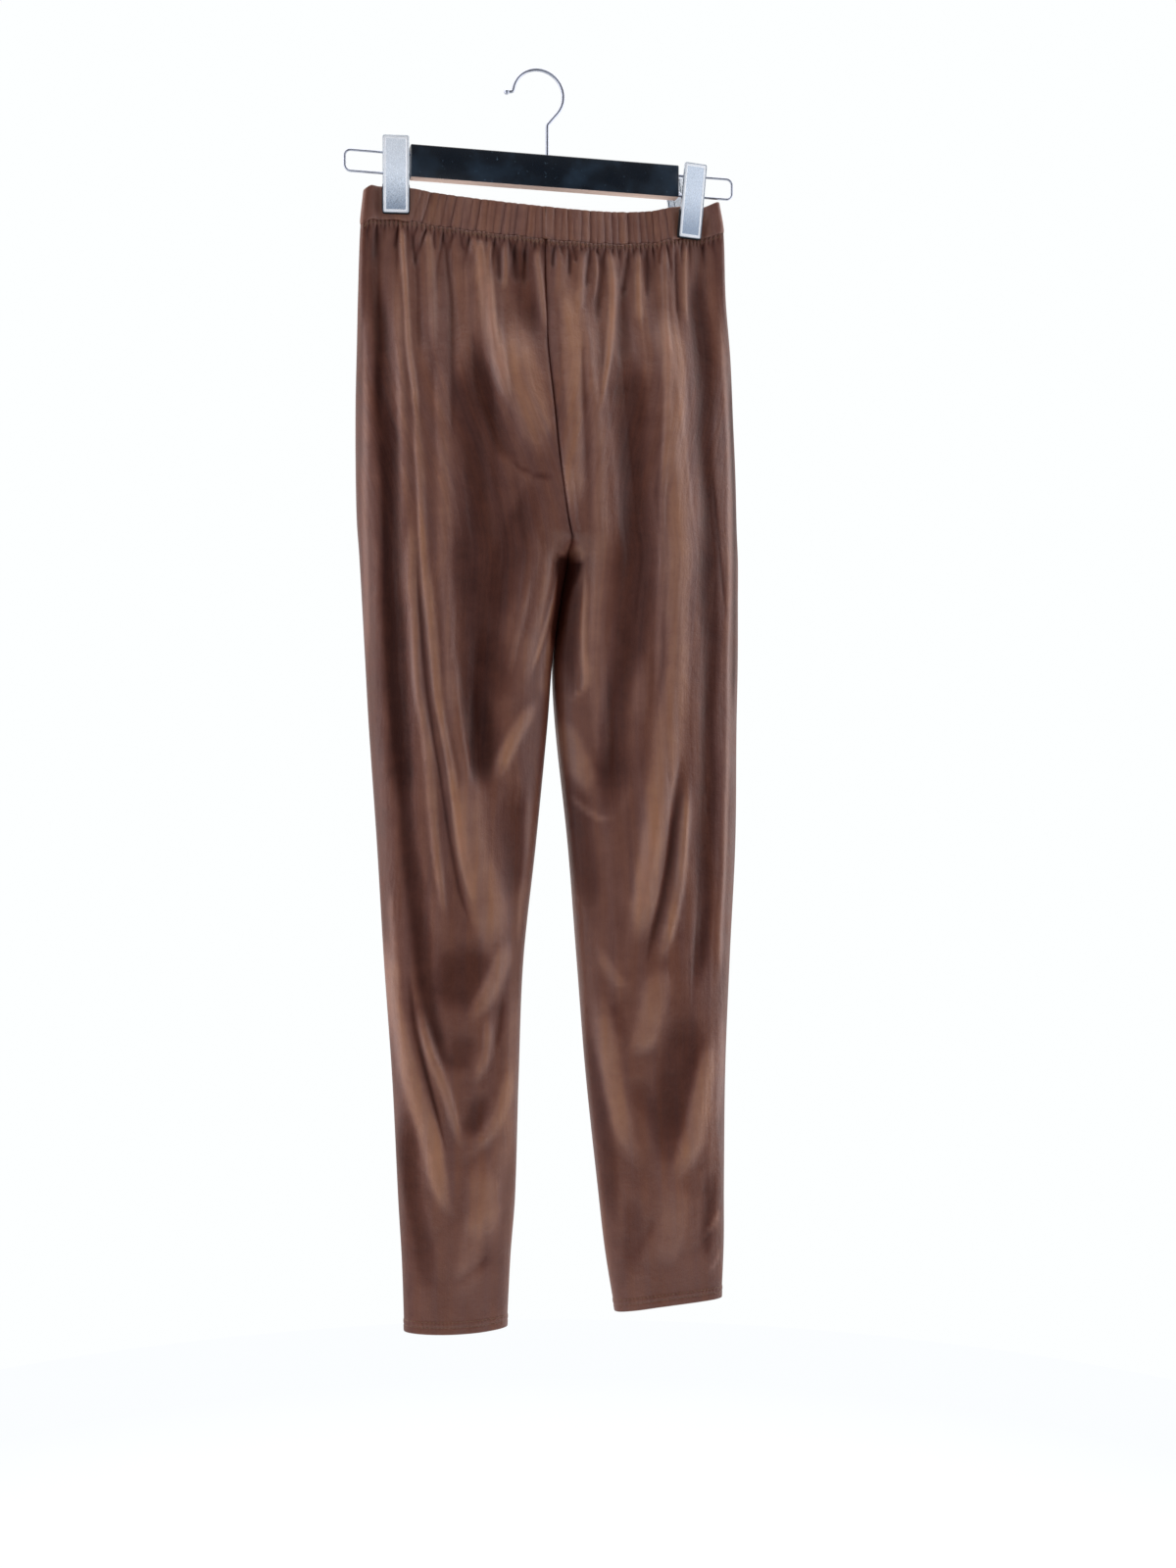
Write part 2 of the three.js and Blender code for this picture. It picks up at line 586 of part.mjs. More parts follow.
// A clip's back plate with its ears at earX either side, round wires from lowest to highest.
function clipPlate(earX, lowest, highest) {
  const { width, below, above, sheet } = CLIP;
  let plate = toManifold(tilted(slab(width, -below, above, JAW_Y, sheet, 1.6, 0.35)));
  for (const end of [-1, 1]) plate = plate.add(toManifold(ear(end * earX, lowest, highest)));
  for (const z of lowest === highest ? [lowest] : [lowest, highest]) {
    const hole = rodX(1, width + 4, 0, 0, 0, 12).scale(1, EAR.holeAcross, EAR.holeUp);
    plate = plate.subtract(toManifold(hole.translate(0, 0, z)));
  }
  return fromManifold(plate);
}

// The same piece on the other side of the rail's plane.
function mirrored(geometry) {
  const index = geometry.index.array;
  for (let i = 0; i < index.length; i += 3) [index[i], index[i + 1]] = [index[i + 1], index[i]];
  return geometry.scale(1, -1, 1);
}

function clipPad() {
  const { width, below, pad, padHeight } = CLIP;
  const y = JAW_Y - GAP - pad;
  const block = slab(width + 0.8, -below - 0.9, padHeight - below, y, pad, 1.8, 0.3);
  return fromManifold(toManifold(tilted(block)));
}

function clipSpring() {
  const { inside, outside, length } = SPRING;
  const profile = [
    [inside, -length / 2],
    [outside, -length / 2],
    [outside, length / 2],
    [inside, length / 2],
    [inside, -length / 2],
  ].map((place) => new THREE.Vector2(...place));
  return new THREE.LatheGeometry(profile, 12).rotateZ(Math.PI / 2);
}

function addClip({ side, x, drop, yaw, lean }) {
  const wire = (RAIL.upper - RAIL.lower) / 2;
  const [low, high] = [EAR.centreUp - wire, EAR.centreUp + wire];
  const add = (name, geometry, material) => {
    geometry.rotateY(degToRad(lean)).rotateZ(degToRad(yaw));
    geometry.translate(x, MID_Y, (RAIL.upper + RAIL.lower) / 2 - drop);
    addPiece(`clip_${side}_${name}`, geometry, material);
  };
  add('front_plate', mirrored(clipPlate(EAR.x, low, low)), FINISHES.plate);
  add('back_plate', clipPlate(EAR.x - 1.5 * CLIP.sheet, low, high), FINISHES.plate);
  add('front_pad', mirrored(clipPad()), FINISHES.pad);
  add('back_pad', clipPad(), FINISHES.pad);
  addPiece(`clip_${side}_spring`, clipSpring().translate(x, MID_Y, RAIL.lower), FINISHES.wire);
}

addHook();
addBar();
addRail();
CLIPS.forEach(addClip);

export default model;
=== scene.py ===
"""Leggings of coated stretch jersey, hung by their waistband from a clip hanger.

Sizes are millimetres, turned to metres where a mesh is made. +Z is up, the origin is the
inner crown of the hook, X runs along the bar and the front of the leggings faces -Y.
"""
import math
import random
from collections import namedtuple

import bmesh
import bpy
import numpy as np
from mathutils import Matrix, Vector


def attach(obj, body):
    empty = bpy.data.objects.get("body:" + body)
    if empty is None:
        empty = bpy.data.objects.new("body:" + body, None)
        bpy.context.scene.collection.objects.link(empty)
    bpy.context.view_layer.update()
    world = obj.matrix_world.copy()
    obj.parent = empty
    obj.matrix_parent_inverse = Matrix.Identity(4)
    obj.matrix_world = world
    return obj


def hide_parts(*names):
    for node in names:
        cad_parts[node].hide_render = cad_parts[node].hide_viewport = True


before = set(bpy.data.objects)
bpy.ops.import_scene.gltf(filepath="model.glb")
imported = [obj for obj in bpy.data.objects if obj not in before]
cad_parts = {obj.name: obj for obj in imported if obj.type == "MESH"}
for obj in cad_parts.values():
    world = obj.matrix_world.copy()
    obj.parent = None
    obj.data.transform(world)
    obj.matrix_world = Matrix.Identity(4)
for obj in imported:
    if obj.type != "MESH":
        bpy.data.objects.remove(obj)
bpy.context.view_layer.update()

MM = 0.001
BODY = "root"

# ------------------------------------------------------------------ sizes, millimetres
MID_Y = 4.8  # plane of the rail and of the hanging cloth
SEAM_GAP = 0.1  # between two sewn pieces

CLOTH_WALL = 1.2
HEM_HEIGHT = 11
HEM_SWELL = 0.5  # how far the turned-up hem stands out
BAND_WALL = 2.4
BAND_HEIGHT = 28

WAIST_Z = -107
WAIST_SEAM_Z = WAIST_Z - BAND_HEIGHT
WAIST_SAG = 12  # of the band between the clips
WAIST_TILT = 2.5  # from the left clip up to the right one
WAIST_RISE = 6  # of the band's right end
WAIST_CORNER = 5  # the drop of its left end
MOUTH_HALF_DEPTH = 12  # of the band where it gapes most
PINCHED_HALF_DEPTH = 1.52  # where the clips press the two layers together
LOOP_HALF_DEPTH = 3.92  # of the loops that the band makes outside the clips
GATHER_ZONE = 12  # folds that begin this close under the waistband are gathered into its seam
PINCH_END = -300  # below this height nothing of the clips' pinch is left
TWIST_END = -260  # nor below this one of their twist
TWIST_REACH = 19  # how far beside a clip the cloth turns with it
CROTCH_Z = -416

BAR = {"length": 235, "height": 28, "thickness": 11, "x": 7.3, "y": 2.2, "z": -85.6, "edge": 1.2}
RAIL = {"left": -164.9, "right": 175.4, "upper": -78, "lower": -95.7, "corner": 5, "radius": 1.1}
HOOK = {"ring": 22, "wire": 1.5, "ball": 2.4, "tip_x": -27.5, "tip_up": 0.65, "stem_x": 7.8, "in_bar": 17}
# A clip's plate: how far it reaches above and below the rail's middle, its tilt in degrees, its pad.
CLIP = {"width": 22, "above": 20.4, "below": 42, "sheet": 1.2, "tilt": 12, "pad": 1.5, "pad_height": 24}
JAW_Y = 4.98  # inner face of a clip's plate at its jaw, from the rail's plane
# Cheeks of a clip, and the oval holes in them for the rail's wires.
EAR = {"x": 6, "reach": 5.7, "across": 4.7, "up": 4.9, "centre_up": 0.6}
# Clips: how far each hangs below the rail's middle, and how it has turned and leaned, in degrees.
Clip = namedtuple("Clip", "side x drop yaw lean")
CLIPS = [Clip("left", -121.6, 0, -8, 0), Clip("right", 132.8, 3.4, 15, -1.5)]

THREAD = 0.5  # drawn thicker than the 0.2 mm thread so that it shows
ZIGZAG = {"step": 1.9, "height": 3, "drop": 1}
TWIN_NEEDLE = {"rows": (6, 10.6), "stitch": 2.7, "gap": 0.7, "sink": 0.3}

# Each half of the leggings, one row for a height: the outer edge, the inner edge (the
# centre seam above the crotch, the inseam below it) and half the depth of the hollow.
Level = namedtuple("Level", "z outer inner depth")
LEFT_HALF = [
    Level(-107, -148, 5, 12), Level(-134, -151, 5, 16), Level(-191, -153, 5, 25),
    Level(-240, -154, 5, 31), Level(-290, -155, 8, 35), Level(-339, -155, 13, 37),
    Level(-388, -154, 20, 37), Level(-416, -152, 25.4, 36), Level(-450, -150, 20, 34),
    Level(-505, -147, 12.4, 31), Level(-560, -144, 8, 29), Level(-661, -137, -2, 27),
    Level(-761, -131, -13, 25), Level(-861, -124, -17, 21), Level(-963, -119, -20, 17),
    Level(-1014, -116, -24, 15), Level(-1074, -114, -27, 12),
]
RIGHT_HALF = [
    Level(-107, 162.5, 5, 12), Level(-134, 167, 5, 16), Level(-191, 169, 5, 25),
    Level(-240, 173, 5, 31), Level(-290, 175, 8, 35), Level(-339, 177, 13, 37),
    Level(-388, 178, 20.1, 37), Level(-416, 179, 25.9, 36), Level(-450, 179, 21, 34),
    Level(-505, 179, 14.6, 32), Level(-560, 178, 17, 30), Level(-661, 177, 28, 28),
    Level(-761, 172, 36, 26), Level(-861, 168, 44, 22), Level(-963, 167, 55, 18),
    Level(-1014, 167, 61, 15), Level(-1066, 165, 70, 12),
]
OVAL_POWER = 2.4  # cross-sections are a little squarer than an ellipse
# hem: how far the hem's line starts above hem_z at the inseam, climbs outwards, and bows up
Half = namedtuple("Half", "side levels hem_z hem")
HALVES = [Half("left", LEFT_HALF, -1074, (0, 1, -2.2)), Half("right", RIGHT_HALF, -1065.5, (-2.5, 6.5, 1.2))]
Face = namedtuple("Face", "side sign")
FACES = [Face("front", -1), Face("back", 1)]

# Folds, a row each: the route down the fold as (x, z) places, the half widths to its left
# and right, how far it stands out of the cloth (a trough stands in, so it is negative), and
# how much lighter or darker its colour is painted, from -1 to 1: painted light on a ridge,
# painted shade in a trough.
Fold = namedtuple("Fold", "name route left right rise wear")
FRONT_FOLDS = [
    # gathers under the waistband, left of the centre seam
    Fold("gather shade 1", [(-139, -142), (-139, -180), (-138, -230), (-136, -320)], 4, 5, -1.6, -0.45),
    Fold("gather wedge 1", [(-121, -142), (-122, -150), (-123, -162)], 2, 2, -1.2, -0.5),
    Fold("gather ridge 1", [(-117, -140), (-115, -190), (-113.5, -240), (-110, -280),
        (-107, -330)], 2, 2.2, 1.8, 0.8),
    Fold("gather wedge 2", [(-108, -142), (-107, -155), (-106, -176)], 2.2, 2.2, -1.6, -0.55),
    Fold("gather shade 2", [(-105, -150), (-104, -200), (-103, -262)], 3.6, 3.6, -1.8, -0.45),
    Fold("gather ridge 2", [(-95, -142), (-93, -190), (-92, -260)], 3, 3.4, 2.0, 0.4),
    Fold("gather wedge 3", [(-89, -143), (-89, -158)], 1.6, 1.6, -0.8, -0.5),
    Fold("gather trough 3", [(-80, -142), (-78, -170), (-76, -200), (-76, -235), (-78, -280),
        (-80, -330)], 3.4, 4, -2.4, -0.4),
    Fold("gather wedge 4", [(-66, -142), (-64, -155)], 1.8, 1.8, -0.9, -0.5),
    Fold("gather ridge 3", [(-52, -144), (-49, -180), (-45, -215), (-40, -250), (-34, -282),
        (-24, -308)], 5, 6, 3.0, 0.65),
    Fold("gather ridge 4", [(-44, -145), (-43, -180), (-43, -220), (-41, -250)], 2.4, 2.4, 1.8, 0.5),
    Fold("gather wedge 5", [(-36, -142), (-35, -158), (-34, -184)], 3, 3, -2.0, -0.5),
    Fold("gather ridge 5", [(-29, -142), (-30, -165), (-33, -190)], 2.4, 2.4, 1.4, 0.45),
    Fold("gather wedge 6", [(-22, -142), (-21, -160), (-21, -182)], 2.4, 2.4, -1.6, -0.55),
    Fold("gather wedge 7", [(-13, -142), (-12, -160), (-13, -182)], 2.4, 2.4, -1.6, -0.6),
    Fold("left centre seam shade", [(-13, -146), (-13, -180), (-10, -210), (-6, -238)], 11, 9, -2.0, -0.5),
    Fold("left centre seam ridge", [(-4, -143), (0, -175), (3, -205), (4, -232)], 2.6, 2, 1.6, 0.6),
    # left hip and side
    Fold("left edge line", [(-148, -190), (-149, -300), (-149, -400), (-146, -520)], 2, 2.4, 0.8, 0.45),
    Fold("left side trough", [(-137, -180), (-135, -260), (-132, -330), (-130, -380), (-129, -440),
        (-127, -480), (-124.5, -520), (-120.5, -560), (-118, -600), (-114.5, -640), (-109.5, -690),
        (-104, -740), (-98, -785), (-89, -830), (-78, -862)], 7.5, 7.5, -3.6, -0.7),
    Fold("left side floor", [(-129, -290), (-127, -400), (-126, -480), (-122, -560),
        (-117, -640)], 9, 10, -1.4, -0.6),
    Fold("left hip tan", [(-124, -170), (-121, -260), (-119, -340), (-118, -420),
        (-116, -480)], 4, 4, 1.6, 0.4),
    Fold("left hip ridge", [(-112, -380), (-113, -440), (-110, -490), (-107, -530), (-101, -570),
        (-98, -600), (-94, -640), (-89, -690), (-84, -730)], 3.4, 4, 2.4, 0.6),
    Fold("left hip groove", [(-109, -420), (-106, -460), (-101, -520), (-94, -570), (-88, -605),
        (-83, -640), (-76.5, -675), (-70, -705), (-58, -742)], 1.8, 2.2, -1.2, -0.45),
    Fold("left hip line", [(-109, -290), (-107, -345), (-105, -400), (-101.5, -445), (-96, -500),
        (-91, -540), (-84, -580), (-78, -620), (-68, -680), (-57, -722)], 2, 5, 2.4, 0.75),
    Fold("left hip stripe", [(-90, -240), (-88, -320), (-87, -400), (-85, -460), (-81, -520), (-74, -575),
        (-66, -612)], 4, 7, 2.0, 0.35),
    Fold("left hip trough", [(-62, -240), (-58, -310), (-55, -380), (-56, -440), (-58, -500), (-57, -560),
        (-54, -616)], 18, 20, -3.4, -0.6),
    Fold("left belly plane", [(-26, -212), (-22, -250), (-16, -285), (-8, -318),
        (2, -342)], 15, 15, 3.4, 0.6),
    Fold("left belly shade", [(-60, -215), (-54, -265), (-46, -305), (-34, -333),
        (-12, -348)], 6, 8, -2.4, -0.5),
    Fold("left groin shelf", [(-32, -340), (-12, -350), (10, -352)], 2.4, 2, -0.9, -0.4),
    Fold("left groin trough", [(-4, -345), (-18, -376), (-29, -408), (-36, -440),
        (-42, -490)], 10, 13, -2.2, -0.45),
    # left thigh and knee
    Fold("left groin line", [(-8, -425), (-16, -455), (-24, -490), (-32, -530)], 2.4, 2.4, 1.0, 0.3),
    Fold("left inseam ridge", [(10, -392), (4, -430), (-4, -470), (-12, -505),
        (-18, -540)], 8, 5, 2.6, 0.35),
    Fold("left inseam lip", [(14.5, -421), (13.5, -432), (10.5, -452), (5.5, -471), (-1, -491), (-8, -509),
        (-14, -525)], 2.2, 1.6, 2.2, 1.1),
    Fold("left crotch lip", [(25, -404), (20, -412), (14.5, -420)], 3.5, 2, 1.2, 0.5),
    Fold("left inner thigh", [(8, -476), (4, -510), (2, -545)], 5, 4, 0.8, 0.5),
    Fold("left crotch hollow", [(21, -418), (20, -440), (14, -470), (8, -500)], 3, 6, -2.0, -1.6),
    Fold("left thigh shade", [(-50, -475), (-46, -510), (-50, -550)], 14, 14, -1.4, -0.3),
    Fold("left knee right arm", [(0, -536), (-12, -552), (-24, -572), (-34, -592),
        (-44, -614)], 8, 6, 3.4, 0.8),
    Fold("left knee left arm", [(-76, -500), (-74, -545), (-67, -590), (-58, -620)], 6, 4, 2.4, 0.25),
    Fold("left knee pocket", [(-55, -520), (-56, -570), (-54, -600), (-49, -624)], 9, 13, -2.8, -0.6),
    Fold("left knee inner trough", [(-20, -606), (-25, -640), (-24, -680),
        (-28, -716)], 13, 11, -2.6, -0.42),
    Fold("left shin ridge", [(-66, -590), (-62, -640), (-55, -690), (-46, -728),
        (-36, -766)], 14, 15, 3.6, 0.6),
    Fold("left knee edge", [(-9, -600), (-13, -660), (-18, -720), (-19, -760)], 4, 5, 1.4, 0.45),
    # left calf
    Fold("left edge light", [(-129, -690), (-125, -740), (-120, -790)], 3, 3, 1.0, 0.4),
    Fold("left calf shelf", [(-94, -690), (-90, -718), (-82, -742)], 9, 9, 1.0, 0.15),
    Fold("left calf pocket", [(-64, -738), (-68, -770), (-78, -806)], 22, 24, -2.2, -0.5),
    Fold("left upper vee", [(-28, -736), (-38, -768), (-52, -792), (-68, -810)], 6, 8, 3.2, 0.75),
    Fold("left middle pocket", [(-72, -818), (-70, -836), (-74, -856)], 12, 12, -1.4, -0.35),
    Fold("left middle arm", [(-46, -802), (-49, -838), (-62, -866)], 4.5, 5, 2.2, 0.45),
    Fold("left calf slot", [(-34, -785), (-37, -815), (-41, -840)], 3.4, 3, -1.2, -0.4),
    Fold("left lower vee", [(-24, -846), (-36, -885), (-50, -908), (-66, -922)], 6, 8, 2.8, 0.55),
    Fold("left last pocket", [(-50, -868), (-56, -890), (-62, -912)], 11, 9, -1.8, -0.45),
    Fold("left calf edge", [(-26, -770), (-27, -850), (-34, -910), (-42, -950),
        (-44, -1010)], 6, 10, 2.0, 0.3),
    Fold("left calf arm", [(-133, -730), (-127, -790), (-118, -830), (-109, -865), (-99, -900), (-91, -935),
        (-82, -962), (-68, -976)], 7, 8, 3.8, 0.85),
    Fold("left calf groove", [(-114, -765), (-108, -810), (-101, -840), (-94, -870), (-87, -900),
        (-81, -924)], 3, 2.6, -2.0, -0.7),
    Fold("left calf second arm", [(-106, -792), (-96, -835), (-84, -868), (-74, -900),
        (-65, -922)], 4, 5, 2.8, 0.6),
    Fold("left shin shade", [(-116, -872), (-112, -920), (-106, -965), (-100, -1000),
        (-94, -1046)], 9, 8, -1.6, -0.45),
    Fold("left ankle plane", [(-52, -922), (-50, -960), (-52, -1002)], 12, 10, 1.8, 0.35),
    Fold("left ankle notch", [(-42, -1004), (-56, -1020), (-76, -1034)], 5, 3, -1.0, -0.25),
    Fold("left ankle ridge", [(-54, -960), (-62, -1000), (-64, -1046)], 10, 10, 1.2, 0.3),
    # gathers under the waistband, right of the centre seam
    Fold("gather wedge 8", [(11, -142), (11, -162)], 2, 2, -1.2, -0.5),
    Fold("gather ridge 6", [(17, -143), (18, -180), (21, -220)], 4, 4, 1.6, 0.35),
    Fold("gather wedge 9", [(26, -142), (26, -155), (25, -170)], 2, 2, -1.4, -0.7),
    Fold("gather wedge 10", [(32, -142), (32, -155)], 1.6, 1.6, -1.0, -0.6),
    Fold("gather ridge 7", [(37, -144), (36, -175), (33, -205)], 3, 3, 1.6, 0.45),
    Fold("gather wedge 11", [(43, -142), (42, -158), (39, -180)], 2, 2.4, -1.4, -0.5),
    Fold("gather ridge 8", [(50, -144), (50, -165), (47, -190)], 2, 2, 1.2, 0.4),
    Fold("gather trough 8", [(56, -142), (53, -175), (48, -215)], 3.6, 3.6, -2.2, -0.55),
    Fold("gather ridge 9", [(64, -143), (65, -180), (60, -220), (54, -258), (46, -300)], 2.8, 3, 2.4, 0.85),
    Fold("gather wedge 12", [(79, -142), (78, -160), (74, -188)], 3, 3, -2.4, -0.6),
    Fold("gather shade 3", [(75, -165), (72, -210), (70, -260)], 5, 6, -2.4, -0.45),
    Fold("gather ridge 10", [(89, -144), (88, -180), (87, -218)], 3.2, 3.6, 2.2, 0.55),
    Fold("gather wedge 13", [(96, -142), (97, -165), (96, -190)], 2.6, 2.6, -2.0, -0.55),
    Fold("gather wedge 14", [(109, -142), (109, -158)], 1.6, 1.6, -1.0, -0.5),
    Fold("gather wedge 15", [(122, -142), (123, -175), (124, -218)], 2.6, 2.6, -2.0, -0.5),
    Fold("gather ridge 11", [(132, -142), (131, -175), (130, -215)], 2, 2, 1.6, 0.55),
    # right hip and side
    Fold("right belly plane", [(26, -165), (26, -240), (23, -310), (24, -370),
        (27, -396)], 9, 10, 2.4, 0.6),
    Fold("right belly groove", [(38, -205), (34, -260), (32, -320)], 3, 3, -0.9, -0.3),
    Fold("right belly ridge", [(38, -190), (41, -260), (44, -330), (46, -400), (45, -460), (45, -520),
        (49, -570), (54, -610)], 5, 8, 2.8, 0.35),
    Fold("right wide trough", [(70, -235), (76, -300), (75, -360), (78, -410), (78, -450), (73, -490),
        (66, -530), (61, -580), (58, -640)], 14, 14, -4.2, -0.6),
    Fold("right thigh band", [(86, -490), (84, -530), (82, -570)], 6, 6, 1.2, 0.2),
    Fold("right main line", [(112, -142), (111, -200), (109, -260), (106, -300), (103, -345), (101, -400),
        (100, -460), (99, -510), (96, -550)], 2, 3, 1.6, 0.3),
    Fold("right main ridge", [(112, -190), (114, -300), (115, -400), (114, -500), (110, -560), (104, -605),
        (97, -650), (90, -700), (80, -752)], 11, 13, 3.8, 0.62),
    Fold("right side trough", [(143, -150), (143, -260), (143, -340), (144, -400), (145, -470), (146, -540),
        (144, -610), (143, -680), (140, -735), (132, -800)], 8, 10, -3.2, -0.6),
    Fold("right side seam", [(149, -330), (153, -380), (158, -430), (165, -480)], 1.6, 1.6, -0.5, -0.4),
    Fold("right edge ridge", [(162, -190), (165, -300), (165, -400), (164, -480), (164, -560), (162, -640),
        (159, -720), (157, -790)], 3, 3.4, 1.8, 0.45),
    Fold("right rim shade", [(171, -240), (172, -340), (172, -440), (171, -560)], 3, 3, -0.6, -0.5),
    # right thigh and knee
    Fold("right inseam ridge", [(37, -422), (37, -440), (35.5, -470), (35.5, -500), (37, -518), (35, -530),
        (26, -537), (16, -545)], 2.2, 3.4, 3.0, 0.8),
    Fold("right crotch lip", [(27, -404), (32, -413), (37, -422)], 2, 3.5, 1.2, 0.6),
    Fold("crotch hollow top", [(10, -420), (22, -421), (38, -424.5)], 20, 1.8, -2.2, -1.6),
    Fold("right groin trough", [(30, -421), (30, -470), (28, -510), (26, -540)], 8, 6, -3.0, -0.5),
    Fold("right knee inner ridge", [(14, -549), (26, -575), (34, -598), (44, -624)], 7, 9, 3.0, 0.55),
    Fold("right inner trough", [(22, -590), (30, -640), (40, -690), (45, -735)], 9, 11, -2.4, -0.42),
    Fold("right knee cup", [(24, -616), (36, -630), (52, -641), (66, -640)], 2.6, 3, 1.4, 0.5),
    Fold("right knee trough", [(66, -560), (62, -600), (58, -650)], 8, 8, -1.4, -0.2),
    Fold("right main plane", [(100, -590), (93, -640), (88, -680), (83, -720),
        (77, -757)], 8, 10, 1.8, 0.35),
    Fold("right shin trough", [(120, -580), (114, -640), (108, -690), (99, -730),
        (88, -772)], 4, 5, -2.8, -0.6),
    Fold("right calf ridge", [(126, -600), (123, -660), (118, -700), (109, -738),
        (100, -772)], 4, 5, 3.0, 0.8),
    Fold("right calf plane", [(108, -762), (98, -800), (88, -828), (72, -846)], 12, 11, 2.6, 0.55),
    # right calf
    Fold("right inner calf", [(48, -745), (58, -765), (66, -778), (82, -782)], 5, 4, 1.8, 0.4),
    Fold("right small pocket", [(64, -792), (66, -812), (70, -832)], 7, 7, -1.0, -0.25),
    Fold("right vee left arm", [(50, -784), (56, -840), (64, -880), (74, -912),
        (90, -942)], 8, 11, 3.0, 0.6),
    Fold("right edge shade", [(42, -790), (48, -850), (54, -900), (60, -940),
        (66, -1000)], 6, 7, -1.4, -0.4),
    Fold("right second pocket", [(84, -858), (90, -880), (96, -905)], 9, 8, -1.2, -0.2),
    Fold("right calf pocket", [(128, -790), (122, -840), (118, -880), (112, -915),
        (104, -947)], 16, 17, -2.8, -0.55),
    Fold("right vee right arm", [(152, -816), (146, -860), (138, -895), (126, -932),
        (110, -960)], 9, 11, 3.4, 0.7),
    Fold("right outer calf", [(160, -800), (159, -860), (156, -920)], 5, 5, 1.4, 0.4),
    Fold("right side notch", [(152, -940), (150, -980), (148, -1030)], 8, 7, -1.6, -0.45),
    Fold("right ankle fold 1", [(162, -982), (152, -998), (142, -1006)], 2.6, 2.6, 1.2, 0.5),
    Fold("right ankle fold 2", [(162, -1018), (154, -1034), (146, -1040)], 2.6, 2.6, 1.0, 0.4),
    Fold("right ankle ridge", [(110, -945), (118, -985), (114, -1035)], 14, 10, 1.8, 0.35),
    Fold("right ankle shade", [(76, -958), (84, -1000), (78, -1038)], 9, 9, -1.2, -0.25),
    Fold("right ankle notch", [(102, -982), (92, -1004), (80, -1016)], 4, 4, -0.8, -0.2),
]
# On the back: the seat and the backs of the knees.
SEAT_FOLDS = [
    Fold("left seat ridge", [(-64, -144), (-60, -230), (-46, -310), (-30, -352)], 9, 11, 4, 0.45),
    Fold("left inner seat trough", [(-30, -160), (-26, -260), (-10, -345)], 9, 10, -3.2, -0.45),
    Fold("left seat drape", [(-60, -404), (-34, -434), (-8, -446), (8, -436)], 7, 10, 2.4, 0.35),
    Fold("left lower seat drape", [(-52, -436), (-26, -466), (0, -474)], 5, 8, -1.8, -0.35),
    Fold("left back of knee", [(-96, -520), (-76, -590), (-60, -640)], 13, 12, -4, -0.5),
    Fold("left back knee crease", [(-112, -606), (-88, -636), (-58, -652), (-30, -640),
        (-14, -616)], 6, 8, 2.6, 0.45),
    Fold("right seat ridge", [(74, -144), (68, -230), (54, -310), (36, -352)], 9, 11, 4, 0.45),
    Fold("right inner seat trough", [(36, -160), (36, -250), (26, -345)], 9, 9, -3.2, -0.45),
    Fold("right seat drape", [(24, -440), (50, -450), (82, -440), (106, -412)], 7, 10, 2.4, 0.35),
    Fold("right lower seat drape", [(34, -478), (62, -482), (88, -462)], 5, 8, -1.8, -0.35),
    Fold("right back of knee", [(112, -570), (98, -640), (84, -700)], 13, 12, -4, -0.5),
    Fold("right back knee crease", [(38, -664), (62, -706), (88, -722), (118, -700),
        (142, -664)], 6, 8, 2.6, 0.45),
]
# What only the front has: the folds of the belly, and those round its centre seam and the crotch.
FRONT_ONLY = ("centre seam", "belly", "groin", "crotch", "inseam")


def back_like(fold, rng):
    """The hidden back hangs much as the front does: a fold like this one, strayed and softer."""
    aside, down = rng.uniform(-9, 9), rng.uniform(-26, 26)
    if fold.route[0][1] > WAIST_SEAM_Z - GATHER_ZONE:
        down = 0  # it still starts at the waist seam
    wide = rng.uniform(0.85, 1.3)
    strong = rng.uniform(0.55, 0.9)
    route = [(x + aside, z + down) for x, z in fold.route]
    return Fold("back " + fold.name, route, fold.left * wide, fold.right * wide,
                fold.rise * strong, fold.wear * strong)


def make_back_folds(seed):
    rng = random.Random(seed)
    shared = [fold for fold in FRONT_FOLDS if not any(word in fold.name for word in FRONT_ONLY)]
    return [back_like(fold, rng) for fold in shared] + SEAT_FOLDS


FOLDS = {-1: FRONT_FOLDS, 1: make_back_folds(11)}
FOLD_REACH = 2.6  # half widths beside its route where a fold has died away
TAPER_SHARE = 0.3  # of its length over which a fold starts and ends, up to the millimetres below
LONGEST_TAPER = 45

# Mesh steps of the cloth: columns across a piece, and millimetres between rows.
PANEL_COLUMNS = 172
PANEL_ROW = 4.4
BAND_COLUMNS = 190
BAND_ROW = 1.4


# ------------------------------------------------------------------ small helpers
def smoothstep(x, low, high):
    """Rises from 0 at low to 1 at high; high may be the lower of the two."""
    t = np.clip((x - low) / (high - low), 0, 1)
    return t * t * (3 - 2 * t)


def lerp(a, b, t):
    """The value a share t of the way from a to b."""
    return a + (b - a) * t


def bell(away, width):
    """1 where away is 0, falling off smoothly over about width to either side."""
    return np.exp(-((away / width) ** 2))


def rounded(distance, radius):
    """The height of a rounded edge, 0 at the edge and 1 a radius in from it."""
    return np.sqrt(1 - (1 - np.clip(distance / radius, 0, 1)) ** 2)


def cubic(start, end, enter, leave, t):
    """A smooth stretch from start to end that sets out with one slope and arrives with the other."""
    rise = end - start
    return start + t * (enter + t * (3 * rise - 2 * enter - leave + t * (enter + leave - 2 * rise)))


